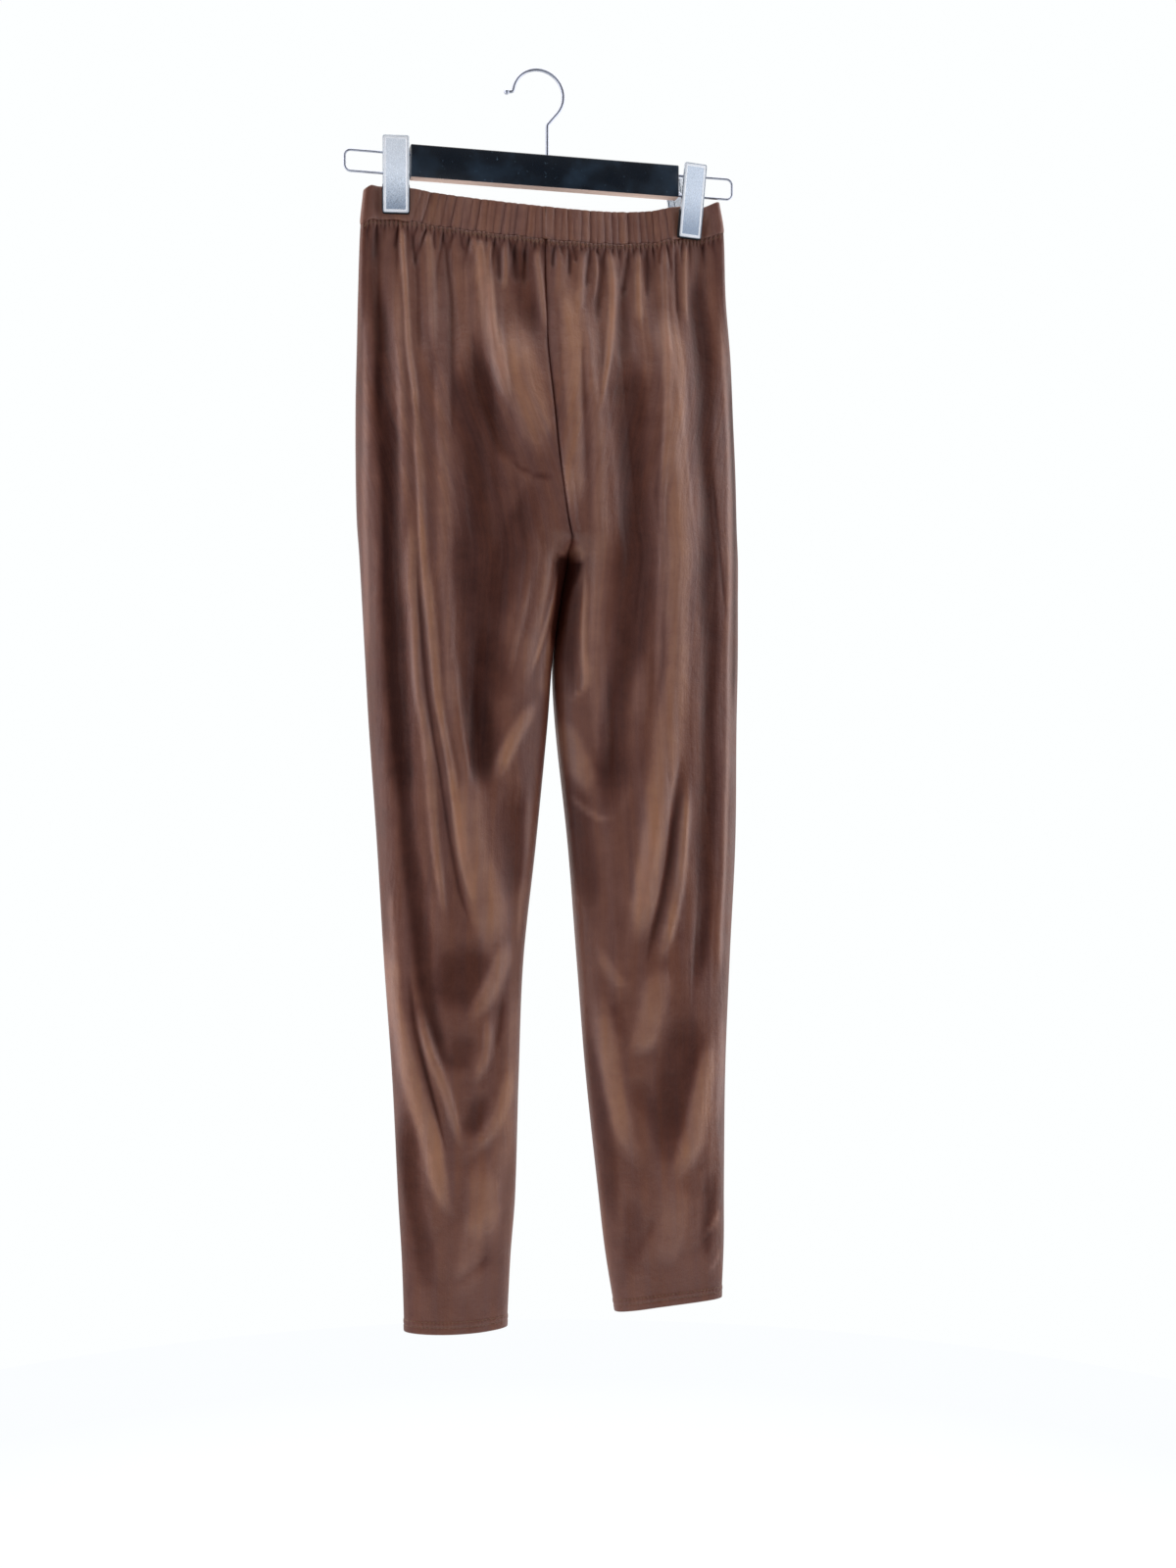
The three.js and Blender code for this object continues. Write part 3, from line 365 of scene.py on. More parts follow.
def column(levels, key, z):
    """A column of a table of levels at any height, joined by smooth cubic stretches."""
    rows = np.array(levels, dtype=float)[::-1]
    heights = rows[:, 0]
    values = rows[:, Level._fields.index(key)]
    slopes = np.gradient(values) / np.gradient(heights)
    z = np.clip(z, heights[0], heights[-1])
    i = np.clip(np.searchsorted(heights, z, side="right") - 1, 0, len(heights) - 2)
    step = heights[i + 1] - heights[i]
    t = (z - heights[i]) / step
    return cubic(values[i], values[i + 1], slopes[i] * step, slopes[i + 1] * step, t)


# ------------------------------------------------------------------ form of the cloth
def waist_lift(x):
    """Height of the waistband's top edge above WAIST_Z at the left clip."""
    left, right = CLIPS
    across = np.clip((x - left.x) / (right.x - left.x), 0, 1)
    skewed = across**1.35
    sag = WAIST_SAG * 4 * skewed * (1 - skewed)
    rise = WAIST_TILT * across + WAIST_RISE * smoothstep(x, 146, 167)
    return rise - sag - WAIST_CORNER * (1 - smoothstep(x, -151, -142))


def pinched_depth(x, outer):
    """Half the distance between the front and back layers where the clips pinch the band."""
    reach = CLIP["width"] / 2 + 2
    left, right = (clip.x for clip in CLIPS)
    # the band gapes between the clips
    across = np.clip((x - left - reach) / (right - left - 2 * reach), 0, 1)
    mouth = PINCHED_HALF_DEPTH + (MOUTH_HALF_DEPTH - PINCHED_HALF_DEPTH) * np.sin(np.pi * across) ** 2
    # and makes a flat loop outside them
    to_clip = np.minimum(abs(x - left), abs(x - right)) - reach
    loop = lerp(PINCHED_HALF_DEPTH, LOOP_HALF_DEPTH, smoothstep(to_clip, 0, 8))
    loop = loop * rounded(abs(outer - x), 4)
    return np.where((x > left + reach) & (x < right - reach), mouth, loop)


def clip_twist(x, z):
    """The clips have turned in their holes, and the cloth they grip turns with them."""
    shift = 0
    for clip in CLIPS:
        away = x - clip.x
        grip = 1 - smoothstep(abs(away), CLIP["width"] / 2 + 2, CLIP["width"] / 2 + TWIST_REACH)
        shift = shift + math.tan(math.radians(clip.yaw)) * away * grip
    return shift * smoothstep(z, TWIST_END, WAIST_SEAM_Z)


def smooth_route(places):
    """A smooth curve through places, as (x, z) rows with six steps from each place to the next."""
    places = np.array(places, dtype=float)
    before = np.vstack([2 * places[0] - places[1], places[:-1]])
    after = np.vstack([places[1:], 2 * places[-1] - places[-2]])
    slopes = (after - before) / 2
    t = np.linspace(0, 1, 6, endpoint=False)[None, :, None]
    curve = cubic(places[:-1, None], places[1:, None], slopes[:-1, None], slopes[1:, None], t)
    return np.vstack([curve.reshape(-1, 2), places[-1:]])


def beside_route(route, x, z):
    """How far right of a route each place is, how far down it that is, and the route's length."""
    place = np.stack([x, z], axis=-1)[:, None]
    start, run = route[None, :-1], np.diff(route, axis=0)[None]
    length = np.linalg.norm(run, axis=-1)
    along = np.clip(((place - start) * run).sum(-1) / length**2, 0, 1)
    away = place - (start + along[..., None] * run)
    distance = np.linalg.norm(away, axis=-1)
    nearest = distance.argmin(axis=1)
    at = np.arange(len(nearest)), nearest
    turn = run[0, nearest, 0] * away[at][:, 1] - run[0, nearest, 1] * away[at][:, 0]
    downhill = run[0, nearest, 1] < 0
    on_right = (turn > 0) == downhill
    travelled = np.concatenate([[0], np.cumsum(length[0])])
    gone = travelled[nearest] + along[at] * length[0, nearest]
    return np.where(on_right, distance[at], -distance[at]), gone, travelled[-1]


def fold_shape(fold, x, z):
    """How strongly one fold shapes the cloth at each place: its height share, and its share of the painted
    light and shade.
    """
    height, light_and_shade = np.zeros_like(x), np.zeros_like(x)
    route = smooth_route(fold.route)
    reach = FOLD_REACH * max(fold.left, fold.right)
    low, high = route.min(axis=0) - reach, route.max(axis=0) + reach
    near = (x > low[0]) & (x < high[0]) & (z > low[1]) & (z < high[1])
    if not near.any():
        return height, light_and_shade
    signed, gone, length = beside_route(route, x[near], z[near])
    taper = min(LONGEST_TAPER, TAPER_SHARE * length)
    fade = smoothstep(length - gone, 0, taper)
    # only a fold that is gathered into the waist seam starts at full strength
    if route[0, 1] < WAIST_SEAM_Z - GATHER_ZONE:
        fade = fade * smoothstep(gone, 0, taper)
    # each fold strays and swells in its own way
    phase = 1.7 * fold.route[0][0] + fold.route[-1][1]
    signed = signed - 0.06 * (fold.left + fold.right) * np.sin(gone / 19 + phase)
    swell = 1 + 0.15 * np.sin(gone / 31 + 2 * phase)
    width = np.where(signed > 0, fold.right, fold.left) * lerp(0.5, 1, fade) * swell
    aside = abs(signed) / width
    height[near] = fade * np.exp(-(aside**2))
    # wide folds have a flat floor of even painted shading
    light_and_shade[near] = fade * np.exp(-(aside ** np.clip(width / 2, 2.2, 4)))
    return height, light_and_shade


# Fine long ripples between the main folds: place is the share from the inner edge outwards.
Ripple = namedtuple("Ripple", "place drift top bottom width rise")


def make_ripples(seed):
    rng = random.Random(seed)
    count = 44
    ripples = []
    for i in range(count):
        top = rng.choice((-150, -170, rng.uniform(-700, -200)))
        ripples.append(Ripple((i + rng.random()) / count, rng.uniform(-0.06, 0.06), top,
                              top - rng.uniform(60, 380), rng.uniform(1.6, 3.6),
                              rng.choice((-1, 1)) * rng.uniform(0.15, 0.45)))
    return ripples


RIPPLES = {("left", -1): make_ripples(5), ("right", -1): make_ripples(6),
           ("left", 1): make_ripples(7), ("right", 1): make_ripples(8)}


def undulation(x, z, seed):
    """Shallow irregular waves of 14 to 50 mm, mostly upright, that no hung cloth is free of."""
    rng = random.Random(seed)
    relief = np.zeros_like(x)
    for _ in range(22):
        length = rng.uniform(14, 50)
        angle = rng.gauss(0, 0.45)
        turned = x * math.cos(angle) + z * math.sin(angle) * rng.choice((-1, 1))
        sway = 0.6 * np.sin(z / rng.uniform(40, 90) + rng.uniform(0, 6))
        relief += length / 800 * np.sin(2 * np.pi * turned / length + sway + rng.uniform(0, 6.3))
    return relief


def ripple_relief(ripples, across, z, wide):
    """The height of the fine ripples on a panel that is wide millimetres wide at each place."""
    relief = np.zeros_like(across)
    for ripple in ripples:
        gone = (ripple.top - z) / (ripple.top - ripple.bottom)
        fade = smoothstep(gone, 0, 0.3) * smoothstep(1 - gone, 0, 0.3)
        away = (across - ripple.place - ripple.drift * gone) * wide
        relief += ripple.rise * fade * bell(away, ripple.width)
    return relief


# Creases of the gathered waistband: place, depth, lean (sideways step per step up) and width,
# and how far down the pucker runs that each starts in the cloth below.
Crease = namedtuple("Crease", "x depth lean width run")
FRONT_CREASES = [
    Crease(-146, 0.4, 0.05, 1.2, 26), Crease(-138, 0.3, 0.05, 1.2, 40), Crease(-131, 0, 0, 1.5, 22),
    Crease(-120, 0, 0, 1.5, 60), Crease(-112, 0, 0, 1.5, 34), Crease(-104, 0.9, 0.28, 1.1, 30),
    Crease(-96, 1.7, 0.3, 1.1, 46), Crease(-88, 0.9, 0.26, 1.0, 24), Crease(-81, 1.3, 0.2, 1.2, 70),
    Crease(-73, 1.8, 0.22, 1.2, 30), Crease(-65, 0.9, 0.16, 1.0, 20), Crease(-59, 1.2, 0.18, 1.1, 40),
    Crease(-52, 2.0, 0.16, 1.2, 30), Crease(-45, 0.8, 0.12, 1.0, 18), Crease(-38, 1.3, 0.14, 1.1, 50),
    Crease(-31, 1.8, 0.16, 1.2, 32), Crease(-25, 1.0, 0.1, 1.0, 20), Crease(-20, 1.8, 0.12, 1.1, 44),
    Crease(-11, 1.6, 0.1, 1.2, 64), Crease(-4, 1.0, 0.05, 1.0, 22), Crease(2, 1.6, 0, 1.0, 40),
    Crease(13, 1.5, 0.02, 1.1, 36), Crease(19, 1.0, 0, 0.9, 20), Crease(25, 1.6, -0.02, 1.0, 34),
    Crease(30, 0.8, 0, 1.0, 18), Crease(37, 1.1, 0.02, 1.0, 24), Crease(45, 1.9, 0, 1.2, 40),
    Crease(51, 0.9, -0.02, 1.0, 20), Crease(58, 1.3, -0.03, 1.1, 46), Crease(65, 1.7, -0.04, 1.1, 30),
    Crease(71, 1.2, -0.05, 1.0, 24), Crease(80, 2.2, -0.06, 1.3, 60), Crease(85, 0.8, -0.05, 0.9, 16),
    Crease(91, 1.6, -0.08, 1.1, 34), Crease(97, 1.3, -0.1, 1.0, 50), Crease(103, 1.7, -0.1, 1.1, 28),
    Crease(109, 1.2, -0.1, 1.0, 20), Crease(115, 1.5, -0.12, 1.1, 44), Crease(128, 0, 0, 1.5, 30),
    Crease(136, 0, 0, 1.5, 46), Crease(149, 0.4, -0.1, 1.2, 30), Crease(157, 0.3, -0.1, 1.2, 40),
]


def make_creases(seed):
    """Creases for the hidden back of the band; it is flat under the clips and outside them."""
    rng = random.Random(seed)
    left, right = (clip.x for clip in CLIPS)
    creases = []
    x = FRONT_CREASES[0].x + rng.uniform(0, 4)
    while x < 162:
        gripped = min(abs(x - left), abs(x - right)) < 13 or not left < x < right
        depth = 0 if gripped else rng.uniform(0.8, 2.0)
        lean = rng.uniform(-0.05, 0.2) if x < 5 else rng.uniform(-0.12, 0.06)
        run = rng.choice([16, 22, 30, 46, 70, 100]) * rng.uniform(0.8, 1.2)
        creases.append(Crease(x, depth, lean, rng.uniform(1.0, 1.4), run))
        x += rng.uniform(5.6, 9.5)
    return creases


CREASES = {-1: FRONT_CREASES, 1: make_creases(23)}


def band_relief(x, z, creases):
    """Rounded pleats of the gathered band, with a narrow crease between each two."""
    up = z - (WAIST_Z - BAND_HEIGHT / 2)
    relief = np.zeros_like(x)
    for crease in creases:
        away = x - crease.x - crease.lean * up
        # a sharp line down the middle of a wider dip
        relief -= 0.55 * crease.depth * bell(away, 1.2 * crease.width)
        relief -= 0.35 * crease.depth * bell(away, 3.4)
    # fine slanted ribs where no clip holds the band flat
    left, right = (clip.x for clip in CLIPS)
    free = smoothstep(x, left + 12, left + 20) * (1 - smoothstep(x, right - 20, right - 12))
    ribs = np.sin(2 * np.pi * (x - 0.12 * up) / 3.4 + 2.2 * np.sin(x / 7) + 0.8 * np.sin(z / 5))
    return relief + 0.16 * free * ribs


def gather_relief(x, z, creases):
    """Puckers that run down from the waistband's seam, each as long as its crease says."""
    top = WAIST_SEAM_Z - 3.5
    relief = np.zeros_like(x)
    for i, crease in enumerate(creases):
        drop = np.clip((top - z) / crease.run, 0, 1)
        width = lerp(1.3, 3.2, drop)
        depth = 2.6 * (0.7 + 0.3 * math.sin(2.4 * i)) * (1 - drop) ** 1.5 * smoothstep(z, top + 2, top - 4)
        sway = 0.03 * (top - z) * math.sin(1.7 * i) - crease.lean * (top - z)
        relief -= depth * bell(x - crease.x - sway, width)
    return relief


def stitch_puckers(x, z, line, spacing=3.3, depth=0.22, reach=2.6):
    """Small dimples that a row of stitches pulls into the cloth, along the level line."""
    wave = np.sin(2 * np.pi * x / spacing + 0.8 * np.sin(x / 11))
    return depth * wave * bell(z - line, reach)


def across_at(share, z):
    """Places across a panel, crowded at its outer edge over the hips and at both edges down the leg."""
    hip = np.sin(np.pi / 2 * share)
    leg = 0.5 - 0.5 * np.cos(np.pi * share)
    return lerp(leg, hip, smoothstep(z, CROTCH_Z + 20, -230))


def leg_share(across, z):
    """0 over the hips, and 1 down the leg, where each leg is a tube of its own."""
    return 1 - smoothstep(z, CROTCH_Z - 70 * across, CROTCH_Z + 16 + 110 * across)


def half_depth(half, across, x, z, outer):
    """Half the distance between the front and back layers, before the folds."""
    hip_oval = (1 - across**OVAL_POWER) ** (1 / OVAL_POWER)
    leg_oval = (1 - abs(2 * across - 1) ** OVAL_POWER) ** (1 / OVAL_POWER)
    free = column(half.levels, "depth", z) * lerp(hip_oval, leg_oval, leg_share(across, z))
    skew = clip_twist(x + 0.5, z) - clip_twist(x - 0.5, z)
    pinched = pinched_depth(x, outer) * np.hypot(1, skew)
    return lerp(free, pinched, smoothstep(z, PINCH_END, WAIST_SEAM_Z + 2))


def crotch_shadow_share(face, x, z):
    """Share of the painted shadow in the hollow between the tops of the legs; it is fainter at the back."""
    hollow = bell(x - 17, 7) * smoothstep(z, -560, -440) * (1 - smoothstep(z, -424, -418))
    return 0.85 * hollow * (1 if face.sign < 0 else 0.4)


def seam_beads(x, z):
    """Beads of cloth between the stitches that hold the waistband."""
    return stitch_puckers(x, z, WAIST_SEAM_Z - 3, spacing=3.7, depth=0.8, reach=3.4)


def panel_relief(half, face, across, x, z, wide):
    """How far a panel's cloth stands out, and how much light and shade is painted into its colour."""
    lift, wear = np.zeros_like(x), np.zeros_like(x)
    for fold in FOLDS[face.sign]:
        height, light_and_shade = fold_shape(fold, x, z)
        lift += fold.rise * height
        wear += fold.wear * light_and_shade
    wear = np.tanh(1.15 * wear)  # the painted shading stops growing where folds meet
    # painted shadow darkens the crotch hollow
    wear = lerp(wear, -1.3, crotch_shadow_share(face, x, z))
    ripples = ripple_relief(RIPPLES[half.side, face.sign], across, z, wide)
    ripples += undulation(x, z, face.sign + 40)
    # the cloth lies flat under the zigzag stitches
    start = 1 - smoothstep(z, WAIST_SEAM_Z - 15, WAIST_SEAM_Z - 4)
    lift = (lift + ripples) * (0.2 + 0.8 * start)
    # painted light on the ripples' crests and painted shade in their troughs; the cloth is also painted
    # lighter from z -270 up to z -160
    wear = (wear + 0.16 * ripples + 0.2 * smoothstep(z, -270, -160)) * start
    beads = seam_beads(x, z)
    gathers = gather_relief(x, z, CREASES[face.sign])
    centre_seam = bell(across * wide, 1.5) * (1 - leg_share(across, z))
    lift = lift + beads + gathers + stitch_puckers(x, z, half.hem_z + 8.5) - 1.6 * centre_seam
    # painted shade in the gathers' puckers, painted light and shade on the seam's beads, and a darker line
    # down the centre seam
    wear = wear + 0.4 * gathers + 0.5 * beads - 0.9 * centre_seam
    return lift, wear


def cloth_middle(half, face, share, z, is_band=False):
    """The middle of the cloth at each place, in millimetres, and the light and shade painted into its colour.
    """
    across = across_at(share, z)
    outer = column(half.levels, "outer", z)
    inner = column(half.levels, "inner", z)
    x = lerp(inner, outer, across)
    if is_band:
        lift = seam_beads(x, z) + band_relief(x, z, CREASES[face.sign])
        # the band is a lighter tone than the panels, with painted light on its pleats and painted shade in
        # its creases
        wear = 0.48 + 0.32 * lift
    else:
        lift, wear = panel_relief(half, face, across, x, z, abs(outer - inner))
    # the folds die away at the edges, so that front and back meet
    outer_mask = 1 - across**8
    inner_mask = 1 - leg_share(across, z) * (1 - across) ** 8
    y = half_depth(half, across, x, z, outer) + lift * outer_mask * inner_mask
    wear = wear - 0.45 * across**14  # painted shade darkens the outer rim

    raised = waist_lift(x) * smoothstep(z, PINCH_END, WAIST_SEAM_Z - 1)
    # the waist seam winds a little up and down
    raised = raised + 0.5 * np.sin(x / 4.3 + 1.2 * np.sin(x / 9)) * bell(z - WAIST_SEAM_Z, 5)
    start, climb, bow = half.hem
    hem_line = start + climb * across + bow * np.sin(np.pi * across)
    up = z + raised + hem_line * (1 - smoothstep(z, half.hem_z, half.hem_z + 70))
    return np.stack([x, MID_Y + clip_twist(x, z) + face.sign * y, up], axis=-1), wear


def rightward(half):
    """1 for the half that runs right from the centre seam, -1 for the other."""
    return np.sign(half.levels[0].outer - half.levels[0].inner)


def unit(vectors):
    """Vectors of the same directions, all of length 1."""
    return vectors / np.maximum(np.linalg.norm(vectors, axis=-1, keepdims=True), 1e-9)


def cloth_grid(half, face, levels, shares, is_band=False):
    """Grids of middle places, outward normals and painted shading, rows down and columns across."""
    share, z = np.meshgrid(shares, levels)
    places, wear = cloth_middle(half, face, share, z, is_band)
    down = np.gradient(places, axis=0)
    sideways = np.gradient(places, axis=1)
    normals = unit(np.cross(down, sideways)) * rightward(half) * -face.sign
    for edge, inward in ((0, 1), (-1, -2)):
        pull = unit(places[:, inward] - places[:, edge])
        places[:, edge] += pull * SEAM_GAP / 2
    return places, normals, wear


def cloth_piece(name, face, half, places, normals, outside, inside, wear):
    """A closed wall round the middle places, outside and inside thick to either side of them.
    Its UV map is in metres along the cloth."""
    if face.sign * rightward(half) > 0:
        places, normals, wear = places[:, ::-1], normals[:, ::-1], wear[:, ::-1]
    rows, columns = places.shape[:2]
    outer_skin = places + normals * outside[:, None, None]
    inner_skin = places - normals * inside[:, None, None]
    verts = np.concatenate([outer_skin.reshape(-1, 3), inner_skin.reshape(-1, 3)]) * MM
    index = np.arange(rows * columns).reshape(rows, columns)
    a, b, c, d = index[:-1, :-1], index[1:, :-1], index[1:, 1:], index[:-1, 1:]
    # the outer skin, the inner skin, and then the rims that close the wall
    under = rows * columns
    quads = [
        np.stack([a, b, c, d], -1).reshape(-1, 4),
        np.stack([a, d, c, b], -1).reshape(-1, 4) + under,
    ]
    rims = [
        (index[0, :-1], index[0, 1:]),
        (index[-1, 1:], index[-1, :-1]),
        (index[1:, 0], index[:-1, 0]),
        (index[:-1, -1], index[1:, -1]),
    ]
    for start, end in rims:
        quads.append(np.stack([start, end, end + under, start + under], -1))
    faces = np.concatenate(quads)

    mesh = bpy.data.meshes.new(name)
    mesh.from_pydata(verts.tolist(), [], faces.tolist())
    steps = np.linalg.norm(np.diff(places, axis=1), axis=-1) * MM
    u = np.concatenate([np.zeros((rows, 1)), np.cumsum(steps, axis=1)], axis=1)
    u = u - u[:, columns // 2][:, None]
    v = places[..., 2] * MM
    flat = np.tile(np.stack([u, v], -1).reshape(-1, 2), (2, 1))
    loops = np.empty(len(mesh.loops), dtype=np.int32)
    mesh.loops.foreach_get("vertex_index", loops)
    mesh.uv_layers.new(name="cloth").data.foreach_set("uv", flat[loops].ravel().astype(np.float32))
    # the painted light and shade, which the material turns into colour
    light_and_shade = mesh.attributes.new("wear", "FLOAT", "POINT")
    light_and_shade.data.foreach_set("value", np.tile(wear.ravel(), 2).astype(np.float32))
    mesh.polygons.foreach_set("use_smooth", np.ones(len(mesh.polygons), dtype=bool))
    mesh.update()
    piece = bpy.data.objects.new(name, mesh)
    bpy.context.collection.objects.link(piece)
    return piece


# ------------------------------------------------------------------ materials
def linear(code):
    """A linear RGBA colour from an sRGB hex code."""
    parts = [int(code[i:i + 2], 16) / 255 for i in (1, 3, 5)]
    return [c / 12.92 if c <= 0.04045 else ((c + 0.055) / 1.055) ** 2.4 for c in parts] + [1]


def add_node(tree, kind, inputs=None, **settings):
    """Adds a node with its settings; inputs are values, or the sockets that feed them."""
    made = tree.nodes.new(kind)
    for name, value in settings.items():
        setattr(made, name, value)
    for key, value in (inputs or {}).items():
        if isinstance(value, bpy.types.NodeSocket):
            tree.links.new(value, made.inputs[key])
        else:
            made.inputs[key].default_value = value
    return made


def new_material(name):
    """A material with an empty node tree."""
    material = bpy.data.materials.new(name)
    material.use_nodes = True
    material.node_tree.nodes.clear()
    return material, material.node_tree


def coated_jersey():
    """Polyester jersey with a thin foil coating: brown, with a cool satin gloss on slopes."""
    material, tree = new_material("coated stretch jersey")
    uv = add_node(tree, "ShaderNodeUVMap", uv_map="cloth").outputs[0]
    parts = add_node(tree, "ShaderNodeSeparateXYZ", {0: uv})
    # soft streaks of the coating, about 14 mm wide and 300 mm long, and finer ones between
    stretched = add_node(tree, "ShaderNodeMapping", {"Vector": uv, "Scale": (70, 3.2, 1)})
    streaks = add_node(tree, "ShaderNodeTexNoise", {"Vector": stretched.outputs[0], "Scale": 1, "Detail": 3})
    hair_place = add_node(tree, "ShaderNodeMapping", {"Vector": uv, "Scale": (330, 9, 1)})
    hairs = add_node(tree, "ShaderNodeTexNoise", {"Vector": hair_place.outputs[0], "Scale": 1, "Detail": 3})
    mottle = add_node(tree, "ShaderNodeTexNoise", {"Vector": uv, "Scale": 46, "Detail": 8, "Roughness": 0.68})
    # the colour is painted lighter on ridges and darker in the troughs: painted light and painted shade
    wear = add_node(tree, "ShaderNodeAttribute", attribute_name="wear")
    ridged = add_node(tree, "ShaderNodeMapRange", {
        "Value": wear.outputs["Fac"], "From Min": -1.1, "From Max": 1.1, "To Min": -0.36, "To Max": 0.6})
    # the streaks fade out below the knee, where the cloth hangs in broad planes
    hip = add_node(tree, "ShaderNodeMapRange", {
        "Value": parts.outputs[1], "From Min": -0.8, "From Max": -0.5, "To Min": 0.05, "To Max": 0.16})
    finer = add_node(tree, "ShaderNodeMath", {0: hairs.outputs[0], 1: streaks.outputs[0]}, operation="ADD")
    streaked = add_node(tree, "ShaderNodeMath", {
        0: finer.outputs[0], 1: hip.outputs[0], 2: ridged.outputs[0]}, operation="MULTIPLY_ADD")
    level = add_node(tree, "ShaderNodeMath", {
        0: hip.outputs[0], 1: -1, 2: streaked.outputs[0]}, operation="MULTIPLY_ADD")
    patchy = add_node(tree, "ShaderNodeMath", {
        0: mottle.outputs[0], 1: 0.34, 2: level.outputs[0]}, operation="MULTIPLY_ADD")
    middling = add_node(tree, "ShaderNodeMath", {0: patchy.outputs[0], 1: 0.13}, operation="ADD")
    base = add_node(tree, "ShaderNodeValToRGB", {0: middling.outputs[0]})
    tones = base.color_ramp.elements
    tones[0].position, tones[0].color = 0, linear("#35150d")
    tones[1].position, tones[1].color = 0.98, linear("#ab7559")
    for position, code in ((0.14, "#49251b"), (0.32, "#5d3326"), (0.52, "#744838"), (0.75, "#92664f")):
        tones.new(position).color = linear(code)
    # streaks and patches of the coating lean to orange or to mauve
    tint_place = add_node(tree, "ShaderNodeMapping", {
        "Vector": uv, "Scale": (95, 6, 1), "Location": (3, 7, 0)})
    tint = add_node(tree, "ShaderNodeTexNoise", {"Vector": tint_place.outputs[0], "Scale": 1, "Detail": 2})
    lean = add_node(tree, "ShaderNodeMapRange", {
        "Value": tint.outputs[0], "From Min": 0.35, "From Max": 0.65})
    hue = add_node(tree, "ShaderNodeMix", {
        0: lean.outputs[0], 6: (1.08, 1.0, 0.86, 1), 7: (0.97, 1.0, 1.16, 1)}, data_type="RGBA")
    tinted = add_node(tree, "ShaderNodeMix", {
        0: 1, 6: base.outputs[0], 7: hue.outputs[2]}, data_type="RGBA", blend_type="MULTIPLY")
    # and its specular level follows the painted shading, lower in the troughs painted dark
    gloss = add_node(tree, "ShaderNodeMapRange", {
        "Value": wear.outputs["Fac"], "From Min": -0.8, "From Max": 0.3, "To Min": 0.12, "To Max": 0.6})
    # knit grain, 1 mm wales drawn slightly coarse so that they show
    grain_place = add_node(tree, "ShaderNodeMapping", {"Vector": uv, "Scale": (900, 420, 1)})
    grain = add_node(tree, "ShaderNodeTexNoise", {"Vector": grain_place.outputs[0], "Scale": 1, "Detail": 2})
    bump = add_node(tree, "ShaderNodeBump", {
        "Height": grain.outputs[0], "Strength": 0.12, "Distance": 0.0004})
    # fine drape lines about 4 mm apart and 60 mm long
    line_place = add_node(tree, "ShaderNodeMapping", {"Vector": uv, "Scale": (240, 17, 1)})
    lines = add_node(tree, "ShaderNodeTexNoise", {"Vector": line_place.outputs[0], "Scale": 1, "Detail": 3})
    drape = add_node(tree, "ShaderNodeBump", {
        "Height": lines.outputs[0], "Strength": 0.35, "Distance": 0.0012, "Normal": bump.outputs[0]})
    crinkle = add_node(tree, "ShaderNodeBump", {
        "Height": mottle.outputs[0], "Strength": 0.5, "Distance": 0.003, "Normal": drape.outputs[0]})
    rough = add_node(tree, "ShaderNodeMapRange", {
        "Value": mottle.outputs[0], "From Min": 0.3, "From Max": 0.7, "To Min": 0.38, "To Max": 0.52})
    shader = add_node(tree, "ShaderNodeBsdfPrincipled", {
        "Base Color": tinted.outputs[2], "Roughness": rough.outputs[0], "Normal": crinkle.outputs[0],
        "Specular IOR Level": gloss.outputs[0], "Coat Weight": 0.1, "Coat Roughness": 0.38, "IOR": 1.52})
    add_node(tree, "ShaderNodeOutputMaterial", {"Surface": shader.outputs[0]})
    return material


def sewing_thread():
    """Twisted polyester thread, a little lighter and duller than the cloth."""
    material, tree = new_material("polyester sewing thread")
    place = add_node(tree, "ShaderNodeTexCoord").outputs["Object"]
    twist = add_node(tree, "ShaderNodeTexNoise", {"Vector": place, "Scale": 2500, "Detail": 1})
    base = add_node(tree, "ShaderNodeMix", {
        0: twist.outputs[0], 6: linear("#5c4030"), 7: linear("#8c6a50")}, data_type="RGBA")
    shader = add_node(tree, "ShaderNodeBsdfPrincipled", {"Base Color": base.outputs[2], "Roughness": 0.6})
    add_node(tree, "ShaderNodeOutputMaterial", {"Surface": shader.outputs[0]})
    return material


def gloss_paint():
    """Black gloss paint on a planed bar, with small scuffs and a bluish reflection."""
    material, tree = new_material("black gloss paint")
    place = add_node(tree, "ShaderNodeTexCoord").outputs["Object"]
    haze = add_node(tree, "ShaderNodeTexNoise", {"Vector": place, "Scale": 30, "Detail": 4})
    cloudy = add_node(tree, "ShaderNodeMapRange", {
        "Value": haze.outputs[0], "From Min": 0.45, "From Max": 0.75})
    paint = add_node(tree, "ShaderNodeMix", {
        0: cloudy.outputs[0], 6: linear("#0a1622"), 7: linear("#21384c")}, data_type="RGBA")
    scuffs = add_node(tree, "ShaderNodeTexNoise", {"Vector": place, "Scale": 260, "Detail": 3})
    spots = add_node(tree, "ShaderNodeMapRange", {
        "Value": scuffs.outputs[0], "From Min": 0.68, "From Max": 0.76, "To Min": 0, "To Max": 0.6})
    base = add_node(tree, "ShaderNodeMix", {
        0: spots.outputs[0], 6: paint.outputs[2], 7: linear("#5b7488")}, data_type="RGBA")
    rough = add_node(tree, "ShaderNodeMapRange", {
        "Value": haze.outputs[0], "From Min": 0.3, "From Max": 0.7, "To Min": 0.22, "To Max": 0.4})
    shader = add_node(tree, "ShaderNodeBsdfPrincipled", {
        "Base Color": base.outputs[2], "Roughness": rough.outputs[0]})
    add_node(tree, "ShaderNodeOutputMaterial", {"Surface": shader.outputs[0]})
    return material


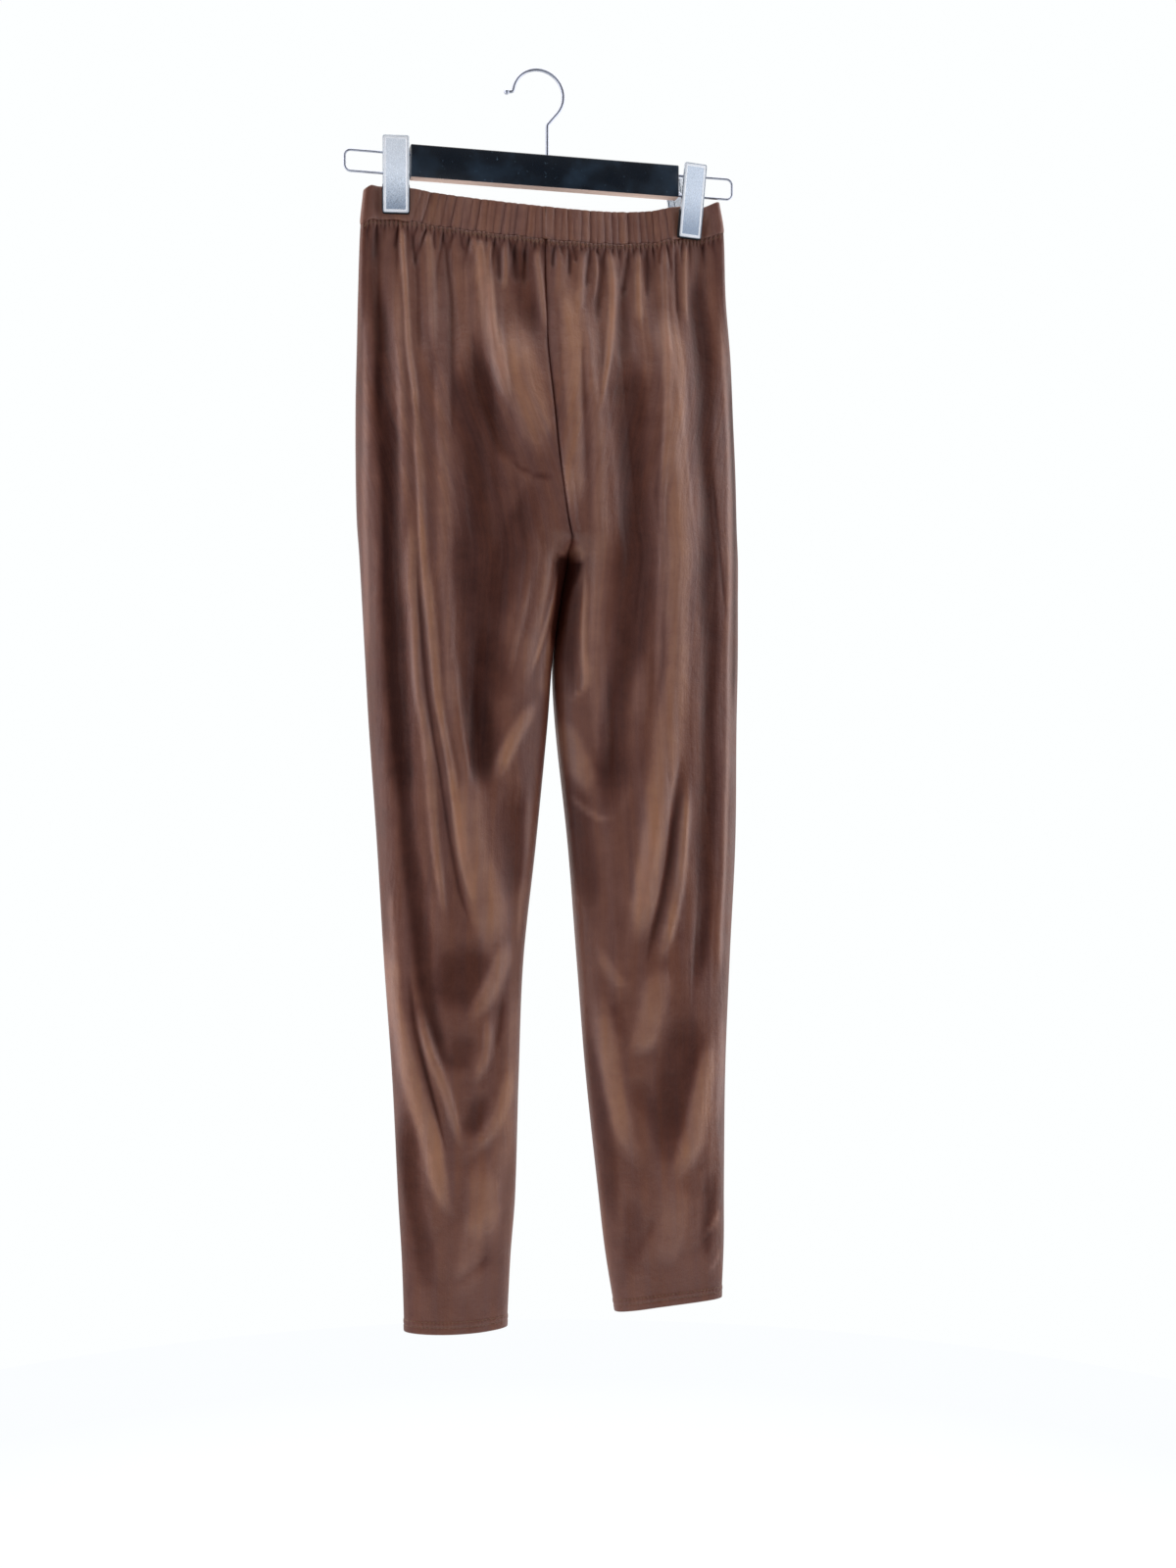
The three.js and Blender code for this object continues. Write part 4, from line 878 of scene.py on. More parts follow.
def floor_reflection_finish():
    """Pale pinkish tan with fine grain along it, under the bar: a painted reflection of the bright floor."""
    material, tree = new_material("bare planed beech")
    place = add_node(tree, "ShaderNodeTexCoord").outputs["Object"]
    grain_place = add_node(tree, "ShaderNodeMapping", {"Vector": place, "Scale": (40, 900, 900)})
    grain = add_node(tree, "ShaderNodeTexNoise", {"Vector": grain_place.outputs[0], "Scale": 1, "Detail": 3})
    base = add_node(tree, "ShaderNodeMix", {
        0: grain.outputs[0], 6: linear("#d8b6a4"), 7: linear("#f6e0d4")}, data_type="RGBA")
    shader = add_node(tree, "ShaderNodeBsdfPrincipled", {"Base Color": base.outputs[2], "Roughness": 0.65})
    add_node(tree, "ShaderNodeOutputMaterial", {"Surface": shader.outputs[0]})
    return material


def chromed_wire():
    """Drawn steel wire with bright chrome plating, faintly uneven along its length."""
    material, tree = new_material("chromed wire")
    place = add_node(tree, "ShaderNodeTexCoord").outputs["Object"]
    haze = add_node(tree, "ShaderNodeTexNoise", {"Vector": place, "Scale": 90, "Detail": 3})
    rough = add_node(tree, "ShaderNodeMapRange", {
        "Value": haze.outputs[0], "From Min": 0.3, "From Max": 0.7, "To Min": 0.22, "To Max": 0.34})
    shader = add_node(tree, "ShaderNodeBsdfPrincipled", {
        "Base Color": linear("#b4bac8"), "Metallic": 1, "Roughness": rough.outputs[0]})
    add_node(tree, "ShaderNodeOutputMaterial", {"Surface": shader.outputs[0]})
    return material


def satin_steel(name, top_grey, top_mirror):
    """Nickel-plated steel sheet with a milky satin lacquer, brushed lengthways. top_grey and
    top_mirror say how greyed and how mirror-like its upper end is."""
    material, tree = new_material(name)
    place = add_node(tree, "ShaderNodeTexCoord").outputs["Object"]
    # brush lines about 0.4 mm apart and 15 mm long
    lines = add_node(tree, "ShaderNodeMapping", {"Vector": place, "Scale": (2400, 2400, 70)})
    brushed = add_node(tree, "ShaderNodeTexNoise", {"Vector": lines.outputs[0], "Scale": 1, "Detail": 3})
    base = add_node(tree, "ShaderNodeMix", {
        0: brushed.outputs[0], 6: linear("#d9e6f3"), 7: linear("#fbfdff")}, data_type="RGBA")
    # the colour turns grey-blue towards the plate's lower end, with a grainy edge to the grey
    parts = add_node(tree, "ShaderNodeSeparateXYZ", {0: place})
    grain = add_node(tree, "ShaderNodeTexNoise", {"Vector": place, "Scale": 1100, "Detail": 2})
    strayed = add_node(tree, "ShaderNodeMath", {
        0: grain.outputs[0], 1: 0.02, 2: parts.outputs[2]}, operation="MULTIPLY_ADD")
    greyed = add_node(tree, "ShaderNodeMapRange", {
        "Value": strayed.outputs[0], "From Min": -0.116, "From Max": -0.09,
        "To Min": 0.75, "To Max": top_grey})
    # and towards the top it is less rubbed, so milkier and less like a mirror
    mirror = add_node(tree, "ShaderNodeMapRange", {
        "Value": parts.outputs[2], "From Min": -0.11, "From Max": -0.07,
        "To Min": 0.88, "To Max": top_mirror})
    greyed_colour = add_node(tree, "ShaderNodeMix", {
        0: greyed.outputs[0], 6: base.outputs[2], 7: linear("#5f7186")}, data_type="RGBA")
    rough = add_node(tree, "ShaderNodeMapRange", {
        "Value": brushed.outputs[0], "From Min": 0.3, "From Max": 0.7, "To Min": 0.2, "To Max": 0.3})
    bump = add_node(tree, "ShaderNodeBump", {
        "Height": brushed.outputs[0], "Strength": 0.6, "Distance": 0.0002})
    shader = add_node(tree, "ShaderNodeBsdfPrincipled", {
        "Base Color": greyed_colour.outputs[2], "Metallic": mirror.outputs[0], "Roughness": rough.outputs[0],
        "Normal": bump.outputs[0]})
    add_node(tree, "ShaderNodeOutputMaterial", {"Surface": shader.outputs[0]})
    return material


def near_white_rim():
    """The same plating on the clips' rims: almost white, with a soft shine."""
    material, tree = new_material("rubbed nickel rim")
    place = add_node(tree, "ShaderNodeTexCoord").outputs["Object"]
    haze = add_node(tree, "ShaderNodeTexNoise", {"Vector": place, "Scale": 160, "Detail": 3})
    base = add_node(tree, "ShaderNodeMix", {
        0: haze.outputs[0], 6: linear("#f2f8ff"), 7: linear("#ffffff")}, data_type="RGBA")
    shader = add_node(tree, "ShaderNodeBsdfPrincipled", {
        "Base Color": base.outputs[2], "Metallic": 0.3, "Roughness": 0.25})
    add_node(tree, "ShaderNodeOutputMaterial", {"Surface": shader.outputs[0]})
    return material


def black_rubber():
    """Moulded black rubber with a dull, slightly grainy face."""
    material, tree = new_material("black rubber")
    place = add_node(tree, "ShaderNodeTexCoord").outputs["Object"]
    grain = add_node(tree, "ShaderNodeTexNoise", {"Vector": place, "Scale": 1500, "Detail": 2})
    bump = add_node(tree, "ShaderNodeBump", {"Height": grain.outputs[0], "Strength": 0.3, "Distance": 0.0002})
    base = add_node(tree, "ShaderNodeMix", {
        0: grain.outputs[0], 6: linear("#0e0e10"), 7: linear("#222226")}, data_type="RGBA")
    shader = add_node(tree, "ShaderNodeBsdfPrincipled", {
        "Base Color": base.outputs[2], "Roughness": 0.7, "Normal": bump.outputs[0]})
    add_node(tree, "ShaderNodeOutputMaterial", {"Surface": shader.outputs[0]})
    return material


# ------------------------------------------------------------------ stage
BACKDROP = (0.982, 0.998, 1.0, 1)
# Millimetres from the hook and above it, degrees round it from the front, degrees of turn, lens in mm.
CAMERA = {"distance": 1600.6, "swing": 11.97, "height": -610.7, "turn": 13.5, "lens": 42.857}


def add_camera():
    swing = math.radians(CAMERA["swing"])
    data = bpy.data.cameras.new("camera")
    data.lens = CAMERA["lens"]
    camera = bpy.data.objects.new("camera", data)
    bpy.context.collection.objects.link(camera)
    across, along = math.sin(swing), math.cos(swing)
    camera.location = Vector((-across, -along, 0)) * CAMERA["distance"] * MM
    camera.location.z = CAMERA["height"] * MM
    camera.rotation_euler = (math.radians(90), 0, -math.radians(CAMERA["turn"]))
    bpy.context.scene.camera = camera


def add_world():
    """White for the camera; for the object a bright wall behind and a darker room in front."""
    world = bpy.data.worlds.new("studio")
    world.use_nodes = True
    tree = world.node_tree
    tree.nodes.clear()
    seen = add_node(tree, "ShaderNodeLightPath").outputs["Is Camera Ray"]
    direction = add_node(tree, "ShaderNodeTexCoord").outputs["Generated"]
    parts = add_node(tree, "ShaderNodeSeparateXYZ", {0: direction})
    # dark in front, brightest at the sides, and dimmer again straight behind
    sides = add_node(tree, "ShaderNodeMapRange", {
        "Value": parts.outputs["Y"], "From Min": -0.62, "From Max": 0.1, "To Min": 0.1, "To Max": 2.7},
        interpolation_type="SMOOTHSTEP")
    behind = add_node(tree, "ShaderNodeMapRange", {
        "Value": parts.outputs["Y"], "From Min": 0.15, "From Max": 0.7, "To Min": 0, "To Max": -1.7},
        interpolation_type="SMOOTHSTEP")
    walls = add_node(tree, "ShaderNodeMath", {0: sides.outputs[0], 1: behind.outputs[0]}, operation="ADD")
    ceiling = add_node(tree, "ShaderNodeMapRange", {
        "Value": parts.outputs["Z"], "From Min": 0.3, "From Max": 0.95, "To Min": 0, "To Max": 0.45},
        interpolation_type="SMOOTHSTEP")
    both = add_node(tree, "ShaderNodeMath", {0: walls.outputs[0], 1: ceiling.outputs[0]}, operation="ADD")
    white = add_node(tree, "ShaderNodeBackground", {"Color": BACKDROP, "Strength": 1})
    room = add_node(tree, "ShaderNodeBackground", {"Color": linear("#fbf6f4"), "Strength": both.outputs[0]})
    mixed = add_node(tree, "ShaderNodeMixShader", {0: seen, 1: room.outputs[0], 2: white.outputs[0]})
    add_node(tree, "ShaderNodeOutputWorld", {"Surface": mixed.outputs[0]})
    bpy.context.scene.world = world
    bpy.context.scene.view_settings.view_transform = "Standard"


def add_light(name, place, target, size, energy, colour):
    data = bpy.data.lights.new(name, "AREA")
    data.shape = "RECTANGLE"
    data.size, data.size_y = size
    data.energy = energy
    data.color = linear(colour)[:3]
    lamp = bpy.data.objects.new(name, data)
    bpy.context.collection.objects.link(lamp)
    lamp.location = place
    lamp.rotation_euler = (Vector(target) - Vector(place)).to_track_quat("-Z", "Y").to_euler()


def add_floor():
    """A pale floor that fades into the backdrop towards its rim."""
    deselect_all()
    bpy.ops.mesh.primitive_circle_add(vertices=96, radius=1.5, fill_type="NGON", location=(0, 0, -1.5))
    floor = named("floor")
    material, tree = new_material("pale floor")
    place = add_node(tree, "ShaderNodeTexCoord").outputs["Object"]
    parts = add_node(tree, "ShaderNodeSeparateXYZ", {0: place})
    level = add_node(tree, "ShaderNodeCombineXYZ", {0: parts.outputs[0], 1: parts.outputs[1]})
    away = add_node(tree, "ShaderNodeVectorMath", {0: level.outputs[0]}, operation="LENGTH")
    fade = add_node(tree, "ShaderNodeMapRange", {
        "Value": away.outputs["Value"], "From Min": 0.2, "From Max": 1.2, "To Min": 0.7, "To Max": 1})
    matt = add_node(tree, "ShaderNodeBsdfDiffuse", {"Color": linear("#f4f6f8")})
    glow = add_node(tree, "ShaderNodeEmission", {"Color": (0.965, 0.985, 1, 1), "Strength": 1})
    mixed = add_node(tree, "ShaderNodeMixShader", {
        0: fade.outputs[0], 1: matt.outputs[0], 2: glow.outputs[0]})
    add_node(tree, "ShaderNodeOutputMaterial", {"Surface": mixed.outputs[0]})
    floor.data.materials.append(material)


def add_lights():
    middle = (0, 0, -0.6)
    add_light("left window", (-1.9, -0.7, -0.3), middle, (1.0, 2.2), 6.5, "#e6efff")
    add_light("right window", (2.0, -0.6, -0.4), middle, (0.9, 2.2), 4, "#eaf0ff")
    add_light("front card", (-0.44, -1.44, -0.35), (-0.12, 0, -0.1), (0.9, 0.9), 2.6, "#eef4ff")
    add_light("right card", (1.2, -1.06, -0.18), (0.13, 0, -0.1), (0.9, 0.9), 3, "#eef4ff")
    add_light("overhead", (0.1, -0.7, 1.3), middle, (1.6, 1.0), 1.5, "#ffffff")


# ------------------------------------------------------------------ leggings
def face_outwards(piece):
    """Turns a closed piece's faces over if they look inwards."""
    mesh = bmesh.new()
    mesh.from_mesh(piece.data)
    if mesh.calc_volume(signed=True) < 0:
        bmesh.ops.reverse_faces(mesh, faces=mesh.faces)
        mesh.to_mesh(piece.data)
    mesh.free()


def finish_piece(piece, slot, material, *nodes):
    """Hides the CAD nodes a piece replaces, and gives it its finish unless it has its own; slot is not used.
    """
    face_outwards(piece)
    if not piece.data.materials:
        piece.data.materials.append(material)
    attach(piece, BODY)
    if nodes:
        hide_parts(*nodes)
    return piece


def panel_levels(half):
    """Heights of a panel's rows, closer for the puckers at the waist and for the rounded hem."""
    top = WAIST_SEAM_Z - 0.1
    levels = np.linspace(top, half.hem_z, round((top - half.hem_z) / PANEL_ROW))
    upper = np.linspace(top, top - 60, 34)
    lower = half.hem_z + np.array([14, 13, 12, 11, 10, 9, 8, 7, 6, 5, 4, 3, 2, 1.2, 0.7, 0.3, 0])
    body = levels[(levels < upper[-1] - 1) & (levels > lower[0] + 1)]
    return np.concatenate([upper, body, lower])


def add_panel(half, face, material):
    levels = panel_levels(half)
    places, normals, wear = cloth_grid(half, face, levels, np.linspace(0, 1, PANEL_COLUMNS + 1))
    above = levels - half.hem_z
    turned = 1 - smoothstep(above, HEM_HEIGHT - 0.6, HEM_HEIGHT + 0.6)
    tip = lerp(0.35, 1, rounded(above, 0.9))
    rows = sum(bell(above - height, 0.7) for height in TWIN_NEEDLE["rows"])
    outside = (CLOTH_WALL / 2 + HEM_SWELL * turned - TWIN_NEEDLE["sink"] * rows) * tip
    inside = (CLOTH_WALL / 2 + turned) * tip
    name = f"{face.side}_{half.side}"
    piece = cloth_piece(f"cloth_{name}", face, half, places, normals, outside, inside, wear)
    return finish_piece(piece, "cloth", material, name)


def add_band(half, face, material):
    below = np.concatenate([
        [0, 0.25, 0.6, 1.1, 1.8], np.arange(3, BAND_HEIGHT - 1, BAND_ROW), [BAND_HEIGHT - 0.8, BAND_HEIGHT]])
    levels = WAIST_Z - below
    places, normals, wear = cloth_grid(half, face, levels, np.linspace(0, 1, BAND_COLUMNS + 1), True)
    seam = bell(BAND_HEIGHT - below, 1.2)
    wall = BAND_WALL / 2 * lerp(0.2, 1, rounded(below, 1.4))
    name = f"waistband_{face.side}_{half.side}"
    piece = cloth_piece(f"cloth_{name}", face, half, places, normals, wall - 0.5 * seam, wall, wear)
    return finish_piece(piece, "cloth", material, name)


def add_leggings(material):
    for half in HALVES:
        for face in FACES:
            panel = add_panel(half, face, material)
            band = add_band(half, face, material)


# ------------------------------------------------------------------ modelling by hand
def deselect_all():
    bpy.ops.object.select_all(action="DESELECT")


def take(piece):
    """Makes a piece the only selected and active one."""
    deselect_all()
    piece.select_set(True)
    bpy.context.view_layer.objects.active = piece


def named(name):
    """Names the primitive that was just added, and puts its place into its mesh."""
    piece = bpy.context.object
    piece.name = piece.data.name = name
    bpy.ops.object.transform_apply(location=True, rotation=True, scale=True)
    return piece


def start_block(name, low, high):
    deselect_all()
    low, high = Vector(low), Vector(high)
    bpy.ops.mesh.primitive_cube_add(size=MM, location=(low + high) / 2 * MM, scale=high - low)
    return named(name)


def start_disc(name, radius, length, centre, sides=32, across=1, up=1):
    """A short cylinder along X, oval where across and up differ."""
    deselect_all()
    bpy.ops.mesh.primitive_cylinder_add(vertices=sides, radius=radius * MM, depth=length * MM,
                                        rotation=(0, math.pi / 2, 0))
    piece = named(name)
    piece.scale = (1, across, up)
    piece.location = Vector(centre) * MM
    bpy.ops.object.transform_apply(location=True, rotation=True, scale=True)
    return piece


def edit(piece, kind="VERT"):
    """Opens a piece in edit mode with nothing selected."""
    take(piece)
    bpy.ops.object.mode_set(mode="EDIT")
    bpy.ops.mesh.select_mode(type=kind)
    bpy.ops.mesh.select_all(action="DESELECT")


def pick(piece, kind, test):
    """Selects the verts, edges or faces of a piece in edit mode whose middle and direction pass."""
    mesh = bmesh.from_edit_mesh(piece.data)
    for part in getattr(mesh, kind):
        if kind == "verts":
            chosen = test(part.co / MM, part.normal)
        elif kind == "edges":
            start, end = (vert.co / MM for vert in part.verts)
            chosen = test((start + end) / 2, (end - start).normalized())
        else:
            chosen = test(part.calc_center_median() / MM, part.normal)
        if chosen:
            part.select_set(True)
    mesh.select_flush(True)
    bmesh.update_edit_mesh(piece.data)


def done(piece, recalculate=False):
    """Leaves edit mode, with every face turned outwards if asked."""
    if recalculate:
        bpy.ops.mesh.select_all(action="SELECT")
        bpy.ops.mesh.normals_make_consistent(inside=False)
    bpy.ops.object.mode_set(mode="OBJECT")
    return piece


def combine(piece, others, operation):
    """Adds or cuts other pieces, which are used up."""
    for other in others:
        take(piece)
        cut = piece.modifiers.new(operation.lower(), "BOOLEAN")
        cut.operation, cut.object, cut.solver = operation, other, "EXACT"
        bpy.ops.object.modifier_apply(modifier=cut.name)
        bpy.data.objects.remove(other)
    return piece


def give_finishes(piece, main, other, has_other):
    """Gives a piece its main finish and another one; has_other says which faces have the other."""
    piece.data.materials.append(main)
    piece.data.materials.append(other)
    for face in piece.data.polygons:
        face.material_index = int(has_other(face))


def smooth(piece, angle):
    """Shades a piece smooth, but for edges sharper than angle degrees."""
    take(piece)
    bpy.ops.object.shade_smooth_by_angle(angle=math.radians(angle))
    return piece


def round_edges(piece, test, radius, segments):
    """Bevels the edges that pass the test on their middle and their direction."""
    edit(piece, "EDGE")
    pick(piece, "edges", test)
    bpy.ops.mesh.bevel(offset=radius * MM, segments=segments, affect="EDGES")
    done(piece)


def bend_wire(name, radius, start, heading, moves, y=0, sides=14, closed=False):
    """A round wire bent in an upright plane. Each move is (turn in degrees, bend radius), left
    turns positive, or (0, straight length). The heading is measured up from +X."""
    deselect_all()
    heading = math.radians(heading)
    place = Vector((start[0], y, start[1]))
    bpy.ops.mesh.primitive_circle_add(vertices=sides, radius=radius * MM, location=place * MM,
                                      rotation=(0, math.pi / 2 - heading, 0))
    piece = named(name)
    edit(piece)
    bpy.ops.mesh.select_all(action="SELECT")
    for turn, size in moves:
        along = Vector((math.cos(heading), 0, math.sin(heading)))
        if turn == 0:
            bpy.ops.mesh.extrude_region_move(TRANSFORM_OT_translate={"value": along * size * MM})
            place = place + along * size
            continue
        left = Vector((-along.z, 0, along.x))
        centre = place + left * math.copysign(size, turn)
        angle = math.radians(turn)
        steps = max(3, round(abs(turn) / 9))
        bpy.ops.mesh.spin(steps=steps, angle=-angle, center=centre * MM, axis=(0, -1, 0))
        place = centre + Matrix.Rotation(-angle, 3, "Y") @ (place - centre)
        heading += angle
    bpy.ops.mesh.select_all(action="SELECT")
    bpy.ops.mesh.remove_doubles(threshold=0.01 * MM)
    if not closed:
        bpy.ops.mesh.fill_holes(sides=0)
    return smooth(done(piece, recalculate=True), 50)


# ------------------------------------------------------------------ hanger
def add_hook(material):
    """A wire hook: a ball tip, most of a ring, back under its middle and down into the bar."""
    ring, wire, ball = HOOK["ring"], HOOK["wire"], HOOK["ball"]
    centre_z = wire - ring
    lip_length, lip_turn, lip_bend = 4.14, 72, 2
    ring_turn, neck_turn, neck_bend = -212, 40, 5
    ring_end = math.radians(-neck_turn)
    end_x, end_z = ring * math.cos(ring_end), centre_z + ring * math.sin(ring_end)
    slope = math.radians(90 - neck_turn)
    sideways = neck_bend * (1 - math.cos(math.radians(neck_turn)))
    run = (end_x - HOOK["stem_x"] - sideways) / math.cos(slope)
    neck_z = end_z - run * math.sin(slope) - neck_bend * math.sin(math.radians(neck_turn))
    foot_z = BAR["z"] + BAR["height"] / 2 - HOOK["in_bar"]
    moves = [(0, lip_length), (lip_turn, lip_bend), (ring_turn, ring), (0, run), (neck_turn, neck_bend),
             (0, neck_z - foot_z)]
    tip = (HOOK["tip_x"], centre_z + HOOK["tip_up"])
    hook = bend_wire("hook_wire", wire, tip, 10, moves, sides=18)
    deselect_all()
    bpy.ops.mesh.primitive_uv_sphere_add(segments=24, ring_count=14, radius=ball * MM,
                                         location=Vector((tip[0], 0, tip[1])) * MM)
    tip_ball = named("tip_ball")
    combine(hook, [tip_ball], "UNION")
    return finish_piece(smooth(hook, 40), "wire", material, "hook")


def add_rail(material):
    """A closed wire rail: a long rectangle with rounded corners."""
    left, right, upper, lower = (RAIL[key] for key in ("left", "right", "upper", "lower"))
    corner = RAIL["corner"]
    wide, tall = right - left - 2 * corner, upper - lower - 2 * corner
    moves = [(0, wide), (90, corner), (0, tall), (90, corner)] * 2
    rail = bend_wire("clip_rail", RAIL["radius"], (left + corner, lower), 0, moves, MID_Y, closed=True)
    return finish_piece(rail, "wire", material, "rail")


def add_bar(paint, reflection_finish):
    """A planed wooden bar with eased edges, bored for the rail's wires and the hook."""
    half = Vector((BAR["length"], BAR["thickness"], BAR["height"])) / 2
    centre = Vector((BAR["x"], BAR["y"], BAR["z"]))
    bar = start_block("hanger_bar", centre - half, centre + half)
    round_edges(bar, lambda middle, along: True, BAR["edge"], 4)
    bores = [start_disc("bore", RAIL["radius"] + 0.4, BAR["length"] + 8, (BAR["x"], MID_Y, z), 20)
             for z in (RAIL["upper"], RAIL["lower"])]
    deselect_all()
    depth = HOOK["in_bar"] + 1
    bpy.ops.mesh.primitive_cylinder_add(
        vertices=20, radius=(HOOK["wire"] + 0.4) * MM, depth=(depth + 4) * MM,
        location=Vector((HOOK["stem_x"], 0, centre.z + half.z + 2 - depth / 2)) * MM)
    bores.append(named("bore"))
    combine(bar, bores, "DIFFERENCE")
    under = (centre.z - half.z + 0.35) * MM
    # the underside gets a pale finish: painted reflection of the bright floor
    give_finishes(bar, paint, reflection_finish, lambda face: face.center.z < under)
    return finish_piece(smooth(bar, 30), "bar_paint", paint, "bar")


def tilt_clip(piece):
    """Leans a piece out about the clip's bottom edge."""
    take(piece)
    below = Matrix.Translation((0, 0, CLIP["below"] * MM))
    piece.matrix_world = below.inverted() @ Matrix.Rotation(-math.radians(CLIP["tilt"]), 4, "X") @ below
    bpy.ops.object.transform_apply(location=True, rotation=True, scale=True)
    return piece


def face_front(piece):
    """Mirrors a piece that was made for the clip's back jaw, so that it fits the front one."""
    take(piece)
    piece.scale = (1, -1, 1)
    bpy.ops.object.transform_apply(location=True, rotation=True, scale=True)
    edit(piece)
    return done(piece, recalculate=True)


def place_clip_piece(piece, clip):
    """Moves a piece, made round the rail's middle, to where its clip hangs."""
    take(piece)
    middle = Vector((clip.x, MID_Y, (RAIL["upper"] + RAIL["lower"]) / 2 - clip.drop)) * MM
    turned = Matrix.Rotation(math.radians(clip.yaw), 4, "Z")
    leaned = Matrix.Rotation(math.radians(clip.lean), 4, "Y")
    piece.matrix_world = Matrix.Translation(middle) @ (turned @ leaned)
    bpy.ops.object.transform_apply(location=True, rotation=True, scale=True)
    return piece


def rounded_slab(name, width, bottom, top, inner, thickness, corner, bevel):
    """An upright slab with rounded corners and a bevelled outer face, its inner face at y = inner."""
    slab = start_block(name, (-width / 2, inner, bottom), (width / 2, inner + thickness, top))
    round_edges(slab, lambda middle, along: abs(along.y) > 0.9, corner, 5)
    outer = inner + thickness - 0.01
    round_edges(slab, lambda middle, along: middle.y > outer and abs(along.y) < 0.1, bevel, 3)
    return slab


def press_panel(plate, outer, face_metal, rim_metal):
    """Presses a plate's outer face in a little, which leaves a narrow bright rim round it."""
    edit(plate, "FACE")
    pick(plate, "faces", lambda middle, normal: normal.y > 0.99 and middle.y > outer - 0.01)
    bpy.ops.mesh.inset(thickness=0.35 * MM)
    bpy.ops.mesh.inset(thickness=0.25 * MM, depth=-0.2 * MM)
    done(plate)
    give_finishes(plate, face_metal, rim_metal, lambda face: not face.select and face.normal.y >= 0.1)


def clip_plate(name, front, face_metal, rim_metal):
    """A spring clip's jaw: a pressed plate with two cheeks that ride on the rail's wires."""
    sheet, reach = CLIP["sheet"], EAR["reach"]
    plate = rounded_slab(name, CLIP["width"], -CLIP["below"], CLIP["above"], JAW_Y, sheet, 1.6, 0.55)
    press_panel(plate, JAW_Y + sheet, face_metal, rim_metal)
    tilt_clip(plate)
    wire = (RAIL["upper"] - RAIL["lower"]) / 2
    low = EAR["centre_up"] - wire
    high = low if front else EAR["centre_up"] + wire
    cheek_x = EAR["x"] if front else EAR["x"] - 1.5 * sheet
    tilt = math.radians(CLIP["tilt"])
    for side in (-1, 1):
        # a disc, drawn out to a plate that reaches past the jaw and cut off along it
        cheek = start_disc("cheek", reach, sheet, (side * cheek_x, 0, low))
        edit(cheek)
        pick(cheek, "verts", lambda place, normal: place.z > low + 0.01)
        bpy.ops.transform.translate(value=(0, 0, (high - low) * MM))
        bpy.ops.mesh.select_all(action="DESELECT")
        pick(cheek, "verts", lambda place, normal: place.y > 0.01)
        bpy.ops.transform.translate(value=(0, 2 * CLIP["below"] * math.tan(tilt) * MM, 0))
        bpy.ops.mesh.select_all(action="SELECT")
        middle = Vector((0, JAW_Y + sheet / 2, -CLIP["below"])) * MM
        bpy.ops.mesh.bisect(plane_co=middle, plane_no=(0, math.cos(tilt), -math.sin(tilt)),
                            use_fill=True, clear_outer=True)
        done(cheek, recalculate=True)
        combine(plate, [cheek], "UNION")
    holes = [start_disc("hole", 1, CLIP["width"] + 4, (0, 0, z), 28, EAR["across"], EAR["up"])
             for z in {low, high}]
    combine(plate, holes, "DIFFERENCE")
    if front:
        face_front(plate)
    return smooth(plate, 30)


def clip_pad(name, front):
    """A rubber pad glued inside the jaw, with grooves across its gripping face."""
    inner = JAW_Y - 0.34 - CLIP["pad"]
    bottom, top = -CLIP["below"] - 0.9, CLIP["pad_height"] - CLIP["below"]
    pad = rounded_slab(name, CLIP["width"] + 0.8, bottom, top, inner, CLIP["pad"], 1.8, 0.3)
    edit(pad)
    rows = np.linspace(bottom + 3, top - 3, 12)
    for z in rows:
        bpy.ops.mesh.select_all(action="SELECT")
        bpy.ops.mesh.bisect(plane_co=(0, 0, z * MM), plane_no=(0, 0, 1))
    bpy.ops.mesh.select_mode(type="FACE")
    bpy.ops.mesh.select_all(action="DESELECT")
    step = rows[1] - rows[0]
    pick(pad, "faces", lambda middle, normal: normal.y < -0.9 and rows[0] < middle.z < rows[-1]
         and int((middle.z - rows[0]) / step) % 2 == 0)
    bpy.ops.mesh.inset(thickness=0.35 * MM, depth=-0.4 * MM)
    tilt_clip(done(pad, recalculate=True))
    if front:
        face_front(pad)
    return smooth(pad, 30)


def clip_spring(name, clip):
    """A coil of hard wire round the rail's lower wire, with a leg that presses on each plate."""
    coil, wire, turns = 2.45, 0.6, 3.5
    pitch = 2 * wire + 0.12
    deselect_all()
    bpy.ops.mesh.primitive_circle_add(vertices=10, radius=wire * MM,
                                      location=(-turns * pitch / 2 * MM, coil * MM, 0))
    spring = named(name)
    wound = spring.modifiers.new("coil", "SCREW")
    wound.axis, wound.angle = "X", math.radians(360 * turns)
    wound.screw_offset, wound.steps, wound.render_steps = turns * pitch * MM, 70, 70
    bpy.ops.object.modifier_apply(modifier="coil")
    for end, outwards in ((-1, 1), (1, -1)):
        edit(spring)
        pick(spring, "verts", lambda place, normal: abs(place.z) < 0.1 and place.y * outwards > 0
             and place.x * end > turns * pitch / 2 - wire - 0.05)
        for out, up in ((0.8, 2.6), (8.2, 5.6)):
            leg = Vector((0, outwards * out, up)) * MM
            bpy.ops.mesh.extrude_region_move(TRANSFORM_OT_translate={"value": leg})
        done(spring)
    edit(spring)
    bpy.ops.mesh.select_all(action="SELECT")
    bpy.ops.mesh.fill_holes(sides=0)
    done(spring, recalculate=True)
    spring.matrix_world = (Matrix.Translation(Vector((clip.x, MID_Y, RAIL["lower"])) * MM)
                           @ Matrix.Rotation(math.radians(clip.yaw), 4, "Z"))
    bpy.ops.object.transform_apply(location=True, rotation=True, scale=True)
    return smooth(spring, 50)


